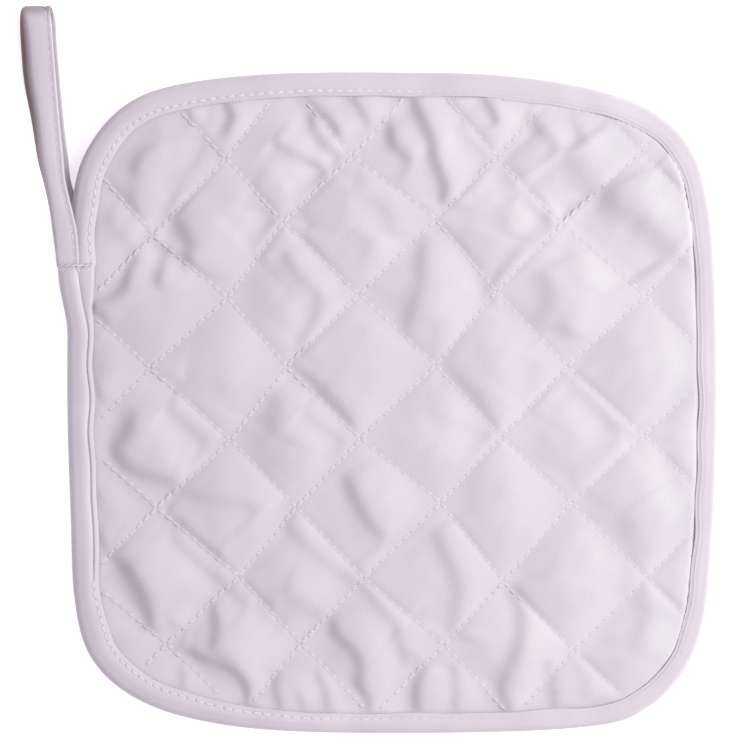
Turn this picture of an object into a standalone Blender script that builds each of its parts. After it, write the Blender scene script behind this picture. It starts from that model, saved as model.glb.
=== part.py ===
"""Quilted cloth pot holder with a bound edge and a hanging loop.

Units are metres, +Z up.  The holder lies on its back, its face up, with the loop at its far left
corner.  The origin is the middle of its whole footprint, on the surface that it lies on.  The
tables below are measured from the middle of the pad.
"""
import math

import bmesh
import bpy
import numpy as np
from mathutils import Matrix, Vector
from mathutils.geometry import delaunay_2d_cdt

MM = 0.001

# Heights of the pad, above the surface it lies on
MIDDLE_HEIGHT = 4.7 * MM          # half way through the thickness, at the seams and the edge
SEAM_HALF = 1.4 * MM              # half the thickness where the quilting is sewn through
EDGE_HALF = 1.1 * MM              # half the thickness that the binding presses flat
PUFF_HEIGHT = 3.1 * MM            # rise of a puff over its seams, on the face
PUFF_VARIATION = 0.13             # share by which one puff is fuller than the next
MARGIN_WIDTH = 11.0 * MM          # how far in from the binding a puff reaches its full height
UNDERSIDE_FULLNESS = 1.5          # more than 1 presses the underside of a puff flat on the surface

# Folded tape
TAPE_WALL = 1.1 * MM              # two layers of folded cotton
TAPE_GAP = 0.3 * MM               # free space between the tape and the pad
BINDING_HALF = EDGE_HALF + TAPE_GAP + TAPE_WALL
CAVITY_DEPTH = 1.6 * MM           # wall of the tape at its outer fold
PAD_INSET = CAVITY_DEPTH + TAPE_GAP
STITCH_INSET = 1.6 * MM           # from the tape's inner edge to its line of stitches
STITCH_DENT = 0.45 * MM           # how deep the stitches pull the tape in

# Where the tape leaves the edge for the loop, below the cross stitch
TACK_Y = 41.5 * MM
TACK_SHIFT = 3.3 * MM             # how far the tape stands out from the edge there
SHIFT_BELOW = 21.0 * MM
SHIFT_ABOVE = 6.0 * MM

# Outer edge of the binding, clockwise from the left side, with the width of tape on the face
OUTLINE = (
    # x, y, width of tape, all in mm
    (-99.4, 0.0, 8.1),
    (-99.0, 40.0, 7.9),
    (-97.4, 64.5, 7.8),
    (-92.6, 78.6, 7.8),
    (-82.2, 90.4, 7.8),
    (-67.0, 96.8, 7.8),
    (-38.0, 100.3, 7.5),
    (0.0, 100.8, 7.5),
    (34.0, 99.8, 7.4),
    (62.0, 95.4, 7.2),
    (80.5, 88.2, 7.0),
    (92.0, 76.2, 6.7),
    (97.0, 58.0, 6.6),
    (98.9, 32.0, 6.5),
    (99.4, 0.0, 6.5),
    (98.4, -32.0, 6.4),
    (96.2, -60.0, 6.4),
    (92.6, -75.0, 6.3),
    (86.4, -85.4, 6.3),
    (78.0, -92.9, 6.3),
    (65.0, -98.2, 6.2),
    (30.0, -100.6, 6.1),
    (-28.0, -100.5, 6.2),
    (-60.0, -96.8, 7.2),
    (-80.0, -89.4, 8.0),
    (-92.4, -77.4, 8.2),
    (-97.2, -60.0, 8.2),
    (-98.4, -34.0, 8.1),
)
OUTLINE_STATIONS = 104
CURVE_STEPS = 24                  # points read from the curve between two rows of a table

# Crossings of the quilting's two families of lines, in mm, a row for each level
CROSSINGS = (
    # first,        second,         third,          fourth
    ((-73.5, 98.0), (-32.0, 98.5), (10.0, 100.5), (54.0, 98.5)),
    ((-51.0, 74.5), (-12.5, 75.0), (31.5, 75.0), (75.5, 76.5)),
    ((-73.0, 51.0), (-33.5, 55.0), (13.0, 56.0), (51.5, 54.5)),
    ((-50.5, 32.0), (-10.5, 33.0), (31.5, 34.0), (77.0, 32.5)),
    ((-74.0, 10.5), (-32.5, 11.0), (13.0, 11.5), (53.0, 11.0)),
    ((-49.5, -11.5), (-10.0, -11.0), (33.0, -10.5), (76.5, -10.0)),
    ((-72.0, -32.0), (-29.5, -32.0), (14.5, -30.5), (54.5, -30.5)),
    ((-47.0, -53.0), (-9.0, -53.5), (33.5, -54.5), (77.5, -53.5)),
    ((-69.0, -73.5), (-28.0, -73.5), (15.5, -74.0), (55.0, -75.5)),
    ((-46.5, -95.5), (-6.5, -95.5), (36.5, -96.0), (75.5, -94.5)),
)
HALF_PITCH = 21.6 * MM            # half the width, and half the height, of an even diamond
OUTER_RANKS = 2                   # ranks of even diamonds laid out round the table's own

# Where a diamond is divided: closer beside its seams, wider over its puff
FACE_DIVISIONS = (0.0, 0.085, 0.22, 0.41, 0.59, 0.78, 0.915)
UNDERSIDE_DIVISIONS = (0.0, 0.12, 0.3, 0.7, 0.88)
RING_STEPS = (0.2 * MM, 2.6 * MM)  # rings of points inside the tape's inner edge
RING_CLEARANCE = 1.3 * MM          # the diamonds' own points start this far inside the last ring

# Main folds of the face, each a soft trough, or a ridge where its depth is negative
FOLDS = (
    # start x, y,    bend x, y,     end x, y,     half width, depth, all in mm
    (28.0, 92.0, 60.0, 64.0, 90.5, 41.0, 3.5, 1.7),
    (63.0, 83.0, 79.0, 65.0, 88.0, 49.5, 4.5, -0.8),
    (-11.5, 90.5, 0.0, 77.0, 14.5, 63.5, 3.2, 1.5),
    (11.5, 90.5, 14.5, 77.0, 18.0, 63.5, 3.0, -0.8),
    (-27.5, 91.5, -25.0, 82.0, -14.5, 75.0, 3.0, 1.4),
    (-37.0, 78.0, -26.0, 73.5, -29.5, 62.5, 3.8, 1.1),
    (-71.0, 57.0, -70.0, 46.5, -74.0, 36.0, 3.0, 1.2),
    (-74.0, 48.0, -80.5, 38.0, -90.0, 30.5, 3.0, 1.4),
    (-30.0, 9.5, -21.0, 2.0, -13.0, -7.0, 2.8, 1.1),
    (17.0, 9.0, 24.0, 3.0, 30.0, -4.5, 2.6, 0.9),
    (-89.5, -14.5, -82.0, -22.5, -72.0, -30.0, 3.2, 1.2),
    (-15.5, -23.0, -12.5, -33.0, -4.0, -42.0, 3.8, 1.3),
    (12.0, -40.5, 18.5, -54.0, 16.0, -69.5, 4.6, 1.5),
    (-36.0, -46.0, -25.0, -49.5, -12.5, -56.5, 3.0, 0.9),
    (-83.5, -52.5, -79.0, -60.0, -74.0, -68.0, 3.2, 1.5),
    (-80.0, -43.5, -71.0, -59.0, -60.5, -68.0, 3.8, -0.9),
    (-69.5, -74.0, -53.0, -76.5, -44.5, -89.5, 3.2, 2.0),
    (-54.5, -64.0, -51.0, -75.0, -40.0, -82.0, 3.2, -1.0),
    (36.5, -58.5, 37.0, -70.0, 32.5, -88.0, 3.8, 1.2),
    (3.5, -79.0, 6.0, -85.0, 7.0, -92.5, 2.6, 1.2),
    (-16.0, -72.5, -8.5, -77.0, -1.5, -86.5, 3.0, -0.8),
)
FOLD_STEPS = 10
FOLD_TAPER = 0.3                  # share of a fold's length over which each end dies away
FOLD_MARGIN = 5.0 * MM            # how far in from the binding a fold reaches its full depth

# Hanging loop: the tape closed on itself, its stitched edge right, its rounded fold left
LOOP_HALF = 0.9 * MM
LOOP_SIDES = (
    # y, left edge, right edge, how far the fold's flank runs out, how far it drops, all in mm
    (41.8, -102.5, -94.9, 1.0, 0.1),
    (46.0, -102.9, -95.2, 1.2, 0.5),
    (52.0, -103.7, -95.9, 1.4, 1.5),
    (62.0, -105.3, -97.6, 1.5, 1.8),
    (74.0, -108.2, -99.3, 1.9, 1.8),
    (86.0, -110.1, -100.9, 2.4, 1.8),
    (98.0, -112.4, -101.9, 3.0, 1.8),
    (110.0, -113.5, -103.0, 3.0, 1.5),
    (117.0, -113.8, -103.7, 2.2, 0.8),
    (121.2, -113.4, -104.2, 1.4, 0.0),
)
LOOP_PATH = (
    # y, height of the tape's middle, share of the flank's drop, all lengths in mm
    (41.8, 8.45, 1.0),
    (50.0, 8.75, 1.0),
    (62.0, 9.7, 1.0),
    (78.0, 10.5, 1.0),
    (94.0, 10.2, 1.0),
    (106.0, 8.9, 1.0),
    (114.5, 7.2, 1.0),
    (119.2, 5.3, 0.5),
    (120.3, 3.4, 0.0),
    (118.9, 1.7, 0.0),
    (115.0, 0.95, 0.0),
    (108.0, 0.9, 0.0),
    (86.0, 0.9, 0.0),
    (62.0, 0.9, 0.0),
    (41.8, 0.9, 0.0),
)
LOOP_STEPS = 3                    # stations of the loop between two rows of its path
BACK_LEG_SHIFT = 0.5 * MM         # how far the back leg shows past the front one, to the right

# Finishes
LILAC = (0.76, 0.69, 0.78, 1.0)
LILAC_TAPE = (0.74, 0.66, 0.77, 1.0)
CLOTH_ROUGHNESS = 0.85


def smoothstep(value):
    """Rises smoothly from 0 to 1 as the value goes from 0 to 1."""
    share = np.clip(value, 0.0, 1.0)
    return share * share * (3.0 - 2.0 * share)


def smooth_rows(rows, steps, closed):
    """Reads a smooth curve through the rows of a table, column by column."""
    rows = np.asarray(rows, dtype=float)
    count = len(rows)
    spans = count if closed else count - 1
    result = []
    for span in range(spans):
        picks = [span - 1, span, span + 1, span + 2]
        picks = [p % count if closed else min(max(p, 0), count - 1) for p in picks]
        before, first, second, after = rows[picks]
        for step in range(steps):
            t = step / steps
            result.append(0.5 * (
                2.0 * first
                + (second - before) * t
                + (2.0 * before - 5.0 * first + 4.0 * second - after) * t * t
                + (3.0 * first - before - 3.0 * second + after) * t ** 3
            ))
    if not closed:
        result.append(rows[-1])
    return np.array(result)


def edge_stations():
    """Places, inward directions and tape widths at even steps round the binding's outer edge."""
    curve = smooth_rows(OUTLINE, CURVE_STEPS, closed=True) * MM
    ring = np.vstack([curve, curve[:1]])
    lengths = np.hypot(*np.diff(ring[:, :2], axis=0).T)
    along = np.concatenate([[0.0], np.cumsum(lengths)])
    wanted = np.linspace(0.0, along[-1], OUTLINE_STATIONS, endpoint=False)
    rows = np.column_stack([np.interp(wanted, along, ring[:, c]) for c in range(3)])
    places, widths = rows[:, :2], rows[:, 2]
    forward = np.roll(places, -1, axis=0) - np.roll(places, 1, axis=0)
    forward /= np.hypot(forward[:, 0], forward[:, 1])[:, None]
    inward = np.column_stack([forward[:, 1], -forward[:, 0]])
    return places, inward, widths


def tape_shift(places):
    """How far the tape stands out from the pad's edge, just below the cross stitch."""
    height = places[:, 1] - TACK_Y
    below = smoothstep(1.0 + height / SHIFT_BELOW)
    above = smoothstep(1.0 - height / SHIFT_ABOVE)
    on_left = places[:, 0] < 0.0
    return TACK_SHIFT * np.where(height < 0.0, below, above) * on_left


PLACES, INWARD, WIDTHS = edge_stations()


def offset_ring(depths):
    """The ring of points that lies the given depths inside the outer edge."""
    return PLACES + INWARD * np.reshape(depths, (-1, 1))


def depth_inside_tape(points):
    """How far each point lies inside the tape's inner edge; negative under the tape."""
    inner_edge = offset_ring(WIDTHS)
    start = inner_edge[None, :, :]
    step = np.roll(inner_edge, -1, axis=0)[None, :, :] - start
    away = points[:, None, :] - start
    share = np.clip((away * step).sum(2) / (step * step).sum(2), 0.0, 1.0)
    gap = away - share[:, :, None] * step
    distance = np.hypot(gap[:, :, 0], gap[:, :, 1])
    nearest = distance.argmin(axis=1)
    picked = np.arange(len(points))
    side = (gap[picked, nearest] * INWARD[nearest]).sum(1)
    return np.where(side < 0.0, -1.0, 1.0) * distance[picked, nearest]


def crossing_places():
    """Every crossing of the quilting, by column and level, with even ranks round the table."""
    known = {}
    for level, row in enumerate(CROSSINGS):
        for index, place in enumerate(row):
            known[2 * index + level % 2, level] = np.array(place) * MM
    placed = dict(known)
    for level in range(-OUTER_RANKS, len(CROSSINGS) + OUTER_RANKS):
        for column in range(-OUTER_RANKS, 8 + OUTER_RANKS):
            if (column + level) % 2 or (column, level) in known:
                continue
            near = min(known, key=lambda k: (k[0] - column) ** 2 + (k[1] - level) ** 2)
            step = np.array([column - near[0], near[1] - level]) * HALF_PITCH
            placed[column, level] = known[near] + step
    return placed


def diamonds():
    """The four corners of each diamond (top, right, bottom, left) and its place in the lattice."""
    placed = crossing_places()
    cells = []
    for column, level in placed:
        names = [(column, level), (column + 1, level + 1), (column, level + 2), (column - 1, level + 1)]
        if all(name in placed for name in names):
            cells.append(((column, level), np.array([placed[name] for name in names])))
    return cells


CELLS = diamonds()


def inside_cell(corners, across, down):
    """The point at the given shares of the way along a diamond's two directions."""
    top, right, bottom, left = corners
    return (
        np.outer((1 - across) * (1 - down), top) + np.outer(across * (1 - down), right)
        + np.outer(across * down, bottom) + np.outer((1 - across) * down, left)
    )


def shares_in_cell(corners, points):
    """The shares of the way along a diamond's two directions at which the points lie."""
    top, right, bottom, left = corners
    shares = np.full((len(points), 2), 0.5)
    for _ in range(6):
        across, down = shares[:, 0], shares[:, 1]
        miss = points - inside_cell(corners, across, down)
        along = np.outer(1 - down, right - top) + np.outer(down, bottom - left)
        below = np.outer(1 - across, left - top) + np.outer(across, bottom - right)
        area = along[:, 0] * below[:, 1] - along[:, 1] * below[:, 0]
        shares[:, 0] += (miss[:, 0] * below[:, 1] - miss[:, 1] * below[:, 0]) / area
        shares[:, 1] += (along[:, 0] * miss[:, 1] - along[:, 1] * miss[:, 0]) / area
    return shares


def puff(points):
    """The puffs' rise, from 0 on a seam to about 1 over the middle of a diamond."""
    rise = np.zeros(len(points))
    for (column, level), corners in CELLS:
        low, high = corners.min(0), corners.max(0)
        near = np.flatnonzero(((points >= low) & (points <= high)).all(1))
        if not len(near):
            continue
        shares = shares_in_cell(corners, points[near])
        inside = ((shares > -1e-6) & (shares < 1 + 1e-6)).all(1)
        shares = np.clip(shares[inside], 0.0, 1.0)
        arch = (4.0 * shares * (1.0 - shares)) ** 0.62
        fullness = 1.0 + PUFF_VARIATION * math.sin(1.9 * column + 2.7 * level)
        rise[near[inside]] = arch[:, 0] * arch[:, 1] * fullness
    return rise


def fold_depth(points):
    """How far the main folds press the face down at each point."""
    total = np.zeros(len(points))
    for x0, y0, x1, y1, x2, y2, half_width, depth in FOLDS:
        t = np.linspace(0.0, 1.0, FOLD_STEPS + 1)[:, None]
        start, bend, end = (np.array(p) * MM for p in ((x0, y0), (x1, y1), (x2, y2)))
        pull = 2.0 * bend - 0.5 * (start + end)
        line = (1 - t) ** 2 * start + 2 * t * (1 - t) * pull + t * t * end
        step = np.diff(line, axis=0)[None, :, :]
        away = points[:, None, :] - line[None, :-1, :]
        share = np.clip((away * step).sum(2) / (step * step).sum(2), 0.0, 1.0)
        gap = away - share[:, :, None] * step
        distance = np.hypot(gap[:, :, 0], gap[:, :, 1])
        nearest = distance.argmin(axis=1)
        picked = np.arange(len(points))
        along = (nearest + share[picked, nearest]) / FOLD_STEPS
        taper = smoothstep(np.minimum(along, 1.0 - along) / FOLD_TAPER)
        reach = distance[picked, nearest] / (half_width * MM)
        total += depth * MM * taper * np.exp(-reach ** 2)
    return total


def face_height(points):
    """Height of the pad's face."""
    inside = depth_inside_tape(points)
    rise = smoothstep(inside / MARGIN_WIDTH) ** 0.6 * PUFF_HEIGHT * puff(points)
    seam = EDGE_HALF + (SEAM_HALF - EDGE_HALF) * smoothstep(inside / MARGIN_WIDTH)
    folds = smoothstep(inside / FOLD_MARGIN) * fold_depth(points)
    lowest = MIDDLE_HEIGHT + EDGE_HALF - 0.6 * MM * smoothstep(inside / MARGIN_WIDTH)
    return np.maximum(MIDDLE_HEIGHT + seam + rise - folds, lowest)


def underside_height(points):
    """Height of the pad's underside, whose puffs are pressed flat where they touch."""
    inside = depth_inside_tape(points)
    seam = EDGE_HALF + (SEAM_HALF - EDGE_HALF) * smoothstep(inside / MARGIN_WIDTH)
    swell = smoothstep(inside / MARGIN_WIDTH) ** 0.6 * np.minimum(UNDERSIDE_FULLNESS * puff(points), 1.0)
    return (MIDDLE_HEIGHT - seam) * (1.0 - swell)


def quilt_points(divisions):
    """Points on the diamonds' own divisions, and the pairs that run along a seam."""
    marks = np.array(divisions)
    points, seams, index = [], [], {}

    def add(place):
        key = tuple(np.round(place / (0.01 * MM)).astype(int))
        if key not in index:
            index[key] = len(points)
            points.append(place)
        return index[key]

    for _, corners in CELLS:
        for across in marks:
            for place in inside_cell(corners, np.full(len(marks), across), marks):
                add(place)
        ends = np.append(marks, 1.0)
        zero = np.zeros(len(ends))
        for line in (inside_cell(corners, ends, zero), inside_cell(corners, zero, ends)):
            names = [add(place) for place in line]
            seams += list(zip(names, names[1:]))
    points = np.array(points)
    kept = depth_inside_tape(points) > RING_STEPS[-1] + RING_CLEARANCE
    renumber = np.cumsum(kept) - 1
    seams = [(renumber[a], renumber[b]) for a, b in seams if kept[a] and kept[b]]
    return points[kept], seams


def flat_net(divisions):
    """A triangle net over the pad: rings along the edge, then the quilting's own divisions."""
    rings = [offset_ring(np.full(OUTLINE_STATIONS, PAD_INSET))]
    rings += [offset_ring(WIDTHS + step) for step in RING_STEPS]
    inner, seams = quilt_points(divisions)
    points = np.vstack(rings + [inner])
    first_inner = OUTLINE_STATIONS * len(rings)
    edges = [(int(a) + first_inner, int(b) + first_inner) for a, b in seams]
    for ring in range(len(rings)):
        start = ring * OUTLINE_STATIONS
        edges += [(start + i, start + (i + 1) % OUTLINE_STATIONS) for i in range(OUTLINE_STATIONS)]
    outer = list(range(OUTLINE_STATIONS))[::-1]
    coordinates = [Vector(point / MM) for point in points]
    net = delaunay_2d_cdt(coordinates, edges, [outer], 1, 1e-5, True)
    places = np.array([tuple(v) for v in net[0]]) * MM
    names = {source: new for new, sources in enumerate(net[3]) for source in sources}
    border = [names[i] for i in range(OUTLINE_STATIONS)]
    on_border = set(border)
    faces = [face for face in net[2] if not on_border.issuperset(face)]
    return places, faces, border


def cloth_material(name, colour):
    """A matt cotton finish."""
    material = bpy.data.materials.new(name)
    material.use_nodes = True
    shader = material.node_tree.nodes["Principled BSDF"]
    shader.inputs["Base Color"].default_value = colour
    shader.inputs["Roughness"].default_value = CLOTH_ROUGHNESS
    shader.inputs["Metallic"].default_value = 0.0
    return material


def finish_object(name, body, material):
    """Puts a finished mesh into the scene as one smooth-shaded object."""
    bmesh.ops.recalc_face_normals(body, faces=body.faces)
    mesh = bpy.data.meshes.new(name)
    body.to_mesh(mesh)
    body.free()
    mesh.shade_smooth()
    mesh.set_sharp_from_angle(angle=math.radians(50.0))
    mesh.materials.append(material)
    piece = bpy.data.objects.new(name, mesh)
    bpy.context.scene.collection.objects.link(piece)
    return piece


def make_quilted_pad():
    """The filled pad, with its puffs and sewn channels on both sides."""
    body = bmesh.new()
    borders = []
    for divisions, height, face_up in (
        (FACE_DIVISIONS, face_height, True),
        (UNDERSIDE_DIVISIONS, underside_height, False),
    ):
        places, faces, border = flat_net(divisions)
        heights = height(places)
        corners = [body.verts.new((x, y, z)) for (x, y), z in zip(places, heights)]
        for face in faces:
            body.faces.new([corners[i] for i in (face if face_up else reversed(face))])
        borders.append([corners[i] for i in border])
    face_border, underside_border = borders
    for i in range(OUTLINE_STATIONS):
        j = (i + 1) % OUTLINE_STATIONS
        body.faces.new((face_border[i], face_border[j], underside_border[j], underside_border[i]))
    return finish_object("quilted_pad", body, cloth_material("quilted_cotton", LILAC))


def binding_section(width, shift):
    """Section of the tape round the edge: how far in, and how far above the middle."""
    top, inner = BINDING_HALF, BINDING_HALF - TAPE_WALL
    stitches = width - STITCH_INSET - shift
    return (
        (width, inner + 0.3 * MM),
        (width - 0.7 * MM, top - 0.25 * MM),
        (stitches, top - STITCH_DENT),
        (stitches - 1.1 * MM, top - 0.05 * MM),
        (3.0 * MM - shift, top),
        (1.1 * MM - shift, top - 0.45 * MM),
        (0.2 * MM - shift, top - 1.5 * MM),
        (-shift, 0.0),
        (0.2 * MM - shift, -top + 1.5 * MM),
        (1.1 * MM - shift, -top + 0.45 * MM),
        (3.0 * MM - shift, -top),
        (width - 0.9 * MM, -top),
        (width, -inner - 0.5 * MM),
        (width, -inner),
        (CAVITY_DEPTH, -inner),
        (CAVITY_DEPTH, inner),
        (width, inner),
    )


def bridge_sections(body, sections, closed):
    """Joins a run of sections with quads, into a ring or into a length with two end faces."""
    loops = [[body.verts.new(point) for point in section] for section in sections]
    count = len(loops)
    for i in range(count if closed else count - 1):
        here, there = loops[i], loops[(i + 1) % count]
        for k in range(len(here)):
            n = (k + 1) % len(here)
            body.faces.new((here[k], there[k], there[n], here[n]))
    if not closed:
        body.faces.new(loops[0])
        body.faces.new(reversed(loops[-1]))


def make_edge_binding():
    """The tape folded over the pad's edge all round."""
    sections = []
    for place, inward, width, shift in zip(PLACES, INWARD, WIDTHS, tape_shift(PLACES)):
        section = []
        for depth, above in binding_section(width, shift):
            x, y = place + inward * depth
            section.append((x, y, MIDDLE_HEIGHT + above))
        sections.append(section)
    body = bmesh.new()
    bridge_sections(body, sections, closed=True)
    return finish_object("edge_binding", body, cloth_material("cotton_tape", LILAC_TAPE))


def loop_section(left, right, flank_run, flank_drop):
    """Section of the closed tape, from its stitched edge to its rounded fold and back."""
    knee = left + flank_run
    half = LOOP_HALF
    return (
        (right, 0.3 * MM),
        (right - 0.5 * MM, half),
        (knee, half),
        (left + 0.45 * MM, half - 0.75 * flank_drop),
        (left, -flank_drop),
        (left + 0.55 * MM, -half - flank_drop),
        (knee + 0.25 * MM, -half),
        (right - 0.5 * MM, -half),
        (right, -0.3 * MM),
    )


def make_hanging_loop():
    """The tape's last stretch, out past the corner, folded back and down to the underside."""
    sides = np.array(LOOP_SIDES) * MM
    path = smooth_rows(LOOP_PATH, LOOP_STEPS, closed=False)
    path[:, :2] *= MM
    path[:, 1] = np.maximum(path[:, 1], LOOP_HALF)
    forward = np.gradient(path[:, :2], axis=0)
    forward /= np.hypot(forward[:, 0], forward[:, 1])[:, None]
    forward[0] = (1.0, 0.0)
    forward[-1] = (-1.0, 0.0)
    turn = int(np.argmax(path[:, 0]))
    sections = []
    for station, ((y, z, flank), (ahead, up)) in enumerate(zip(path, forward)):
        left, right, run, drop = (np.interp(y, sides[:, 0], sides[:, c]) for c in range(1, 5))
        back = BACK_LEG_SHIFT * smoothstep((station - turn + 2) / 4.0)
        section = loop_section(left + back, right + back, run, drop * np.clip(flank, 0.0, 1.0))
        sections.append([(x, y - up * out, z + ahead * out) for x, out in section])
    body = bmesh.new()
    bridge_sections(body, sections, closed=False)
    return finish_object("hanging_loop", body, cloth_material("cotton_loop_tape", LILAC_TAPE))


def stand_on_origin(pieces):
    """Moves the pieces together, so that the middle of their footprint is at the origin."""
    places = np.array([tuple(v.co) for piece in pieces for v in piece.data.vertices])
    middle = 0.5 * (places.min(0) + places.max(0))
    move = Matrix.Translation((-middle[0], -middle[1], -places[:, 2].min()))
    for piece in pieces:
        piece.data.transform(move)


def main():
    for old in list(bpy.data.objects):
        bpy.data.objects.remove(old, do_unlink=True)
    stand_on_origin([make_quilted_pad(), make_edge_binding(), make_hanging_loop()])


main()
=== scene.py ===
# %% [markdown]
# A quilted pot holder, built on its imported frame.
# The real thing is two faces of cotton twill with wadding between them. A machine sews diagonal
# lines of stitches through all of it, a folded cotton tape is sewn over the raw edge, and the end
# of that tape makes the loop that it hangs from. Here the soft pieces are meshes worked out from
# a few sizes and short tables, the threads are one modelled stitch copied along each seam, and
# the frame says where everything goes.

# %% Load the frame
import math

import bmesh
import bpy
import numpy as np
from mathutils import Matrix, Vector


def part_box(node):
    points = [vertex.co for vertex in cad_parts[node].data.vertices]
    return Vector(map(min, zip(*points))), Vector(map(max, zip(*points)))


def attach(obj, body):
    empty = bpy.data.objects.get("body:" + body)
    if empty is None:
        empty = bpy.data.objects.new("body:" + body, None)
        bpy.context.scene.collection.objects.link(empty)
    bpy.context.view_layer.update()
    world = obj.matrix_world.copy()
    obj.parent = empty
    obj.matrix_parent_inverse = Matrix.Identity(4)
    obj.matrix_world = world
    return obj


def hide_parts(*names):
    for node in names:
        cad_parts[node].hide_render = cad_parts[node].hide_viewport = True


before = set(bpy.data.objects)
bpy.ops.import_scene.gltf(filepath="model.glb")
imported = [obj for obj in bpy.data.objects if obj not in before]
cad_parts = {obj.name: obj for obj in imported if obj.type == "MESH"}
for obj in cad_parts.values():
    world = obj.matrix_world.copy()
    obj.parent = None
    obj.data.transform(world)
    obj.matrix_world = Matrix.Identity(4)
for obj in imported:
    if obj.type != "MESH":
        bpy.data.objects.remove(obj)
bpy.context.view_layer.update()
print("frame nodes:", sorted(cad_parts))

# %% [markdown]
# Sizes.
# Most of these are the sizes that the solids were made from; the puffs are a little lower here, as
# they look in the photo. A maker would note the same ones: how thick the pad is at a seam and at a
# puff, how thick the tape is, and how deep its stitches pull it in.

# %% Sizes of the pad and the tape
MM = 0.001

MIDDLE_HEIGHT = 4.7 * MM          # half way through the pad, over the surface it lies on
SEAM_HALF = 1.4 * MM              # half the thickness at a seam
EDGE_HALF = 1.1 * MM              # half the thickness under the tape
PUFF_HEIGHT = 2.0 * MM            # rise of a puff over its seams
PUFF_VARIATION = 0.13             # share by which one puff is fuller than the next
MARGIN_WIDTH = 11.0 * MM          # how far in from the tape a puff reaches its full height
UNDERSIDE_FULLNESS = 1.5          # more than 1 presses the puffs flat on the surface
PAD_REACH = 100.0 * MM            # no part of the pad lies further out than this

TAPE_WALL = 1.1 * MM              # two layers of folded cotton
TAPE_GAP = 0.3 * MM               # free space between the tape and the pad
BINDING_HALF = EDGE_HALF + TAPE_GAP + TAPE_WALL
CAVITY_DEPTH = 1.6 * MM           # wall of the tape at its outer fold
PAD_INSET = CAVITY_DEPTH + TAPE_GAP
STITCH_INSET = 1.6 * MM           # from the tape's lip to its line of stitches
STITCH_DENT = 0.45 * MM           # how deep the stitches pull the tape in

TACK_Y = 41.2 * MM                # where the cross stitch is, up from the middle of the pad
TACK_SHIFT = 3.3 * MM             # how far the tape stands out from the edge there
SHIFT_BELOW = 21.0 * MM           # length over which it comes back to the edge below
SHIFT_ABOVE = 1.2 * MM            # and above
SLACK_SPAN = 190.0 * MM           # width over which the tape goes from slack to tight

LOOP_HALF = 0.9 * MM              # half the thickness of the closed tape

# %% [markdown]
# Tables.
# A row for each place where the edge changes its bend, for each level of seam crossings, and for
# each place along the loop. Smooth curves are read through the rows of the edge and the loop.

# %% Outline, quilting and loop
OUTLINE = (
    # x, y, width of tape, all in mm
    (-99.4, 0.0, 8.1),
    (-99.0, 40.0, 7.9),
    (-97.4, 64.5, 7.8),
    (-92.6, 78.6, 7.8),
    (-82.2, 90.4, 7.8),
    (-67.0, 96.8, 7.8),
    (-38.0, 100.3, 7.5),
    (0.0, 100.8, 7.5),
    (34.0, 99.8, 7.4),
    (62.0, 95.4, 7.2),
    (80.5, 88.2, 7.0),
    (92.0, 76.2, 6.7),
    (97.0, 58.0, 6.6),
    (98.9, 32.0, 6.5),
    (99.4, 0.0, 6.5),
    (98.4, -32.0, 6.4),
    (96.2, -60.0, 6.4),
    (92.6, -75.0, 6.3),
    (86.4, -85.4, 6.3),
    (78.0, -92.9, 6.3),
    (65.0, -98.2, 6.2),
    (30.0, -100.6, 6.1),
    (-28.0, -100.5, 6.2),
    (-60.0, -96.8, 7.2),
    (-80.0, -89.4, 8.0),
    (-92.4, -77.4, 8.2),
    (-97.2, -60.0, 8.2),
    (-98.4, -34.0, 8.1),
)
CROSSINGS = (
    # first,        second,         third,          fourth
    ((-73.5, 98.0), (-32.0, 98.5), (10.0, 100.5), (54.0, 98.5)),
    ((-51.0, 74.5), (-12.5, 75.0), (31.5, 75.0), (75.5, 76.5)),
    ((-73.0, 51.0), (-33.5, 55.0), (13.0, 56.0), (51.5, 54.5)),
    ((-50.5, 32.0), (-10.5, 33.0), (31.5, 34.0), (77.0, 32.5)),
    ((-74.0, 10.5), (-32.5, 11.0), (13.0, 11.5), (53.0, 11.0)),
    ((-49.5, -11.5), (-10.0, -11.0), (33.0, -10.5), (76.5, -10.0)),
    ((-72.0, -32.0), (-29.5, -32.0), (14.5, -30.5), (54.5, -30.5)),
    ((-47.0, -53.0), (-9.0, -53.5), (33.5, -54.5), (77.5, -53.5)),
    ((-69.0, -73.5), (-28.0, -73.5), (15.5, -74.0), (55.0, -75.5)),
    ((-46.5, -95.5), (-6.5, -95.5), (36.5, -96.0), (75.5, -94.5)),
)
HALF_PITCH = 21.6 * MM            # half the width, and half the height, of an even diamond
STITCHES_PER_SIDE = 10            # quilting stitches along one side of a diamond, 3.1 mm each

LOOP_SIDES = (
    # y, left edge, right edge, how far the fold's flank runs out, how far it drops, and how far
    # the back of the loop lies to the right of its front, all in mm
    (39.8, -101.8, -95.4, 1.0, 0.3, 0.2),
    (41.8, -102.5, -95.7, 1.0, 0.3, 0.2),
    (46.0, -102.9, -95.8, 0.9, 0.6, 0.4),
    (52.0, -103.7, -96.3, 1.0, 1.0, 0.9),
    (57.0, -104.4, -97.3, 1.1, 1.2, 1.3),
    (62.0, -105.3, -98.5, 1.3, 1.4, 1.4),
    (68.0, -106.7, -99.8, 1.6, 1.6, 1.0),
    (74.0, -108.2, -100.3, 2.1, 1.8, 0.8),
    (86.0, -110.1, -101.5, 2.8, 1.8, 0.7),
    (98.0, -112.4, -102.6, 3.2, 1.8, 0.7),
    (110.0, -113.5, -103.7, 3.1, 1.5, 0.8),
    (117.0, -113.8, -104.4, 2.4, 0.8, 1.2),
    (121.2, -113.4, -105.0, 1.4, 0.0, 1.2),
)
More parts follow.
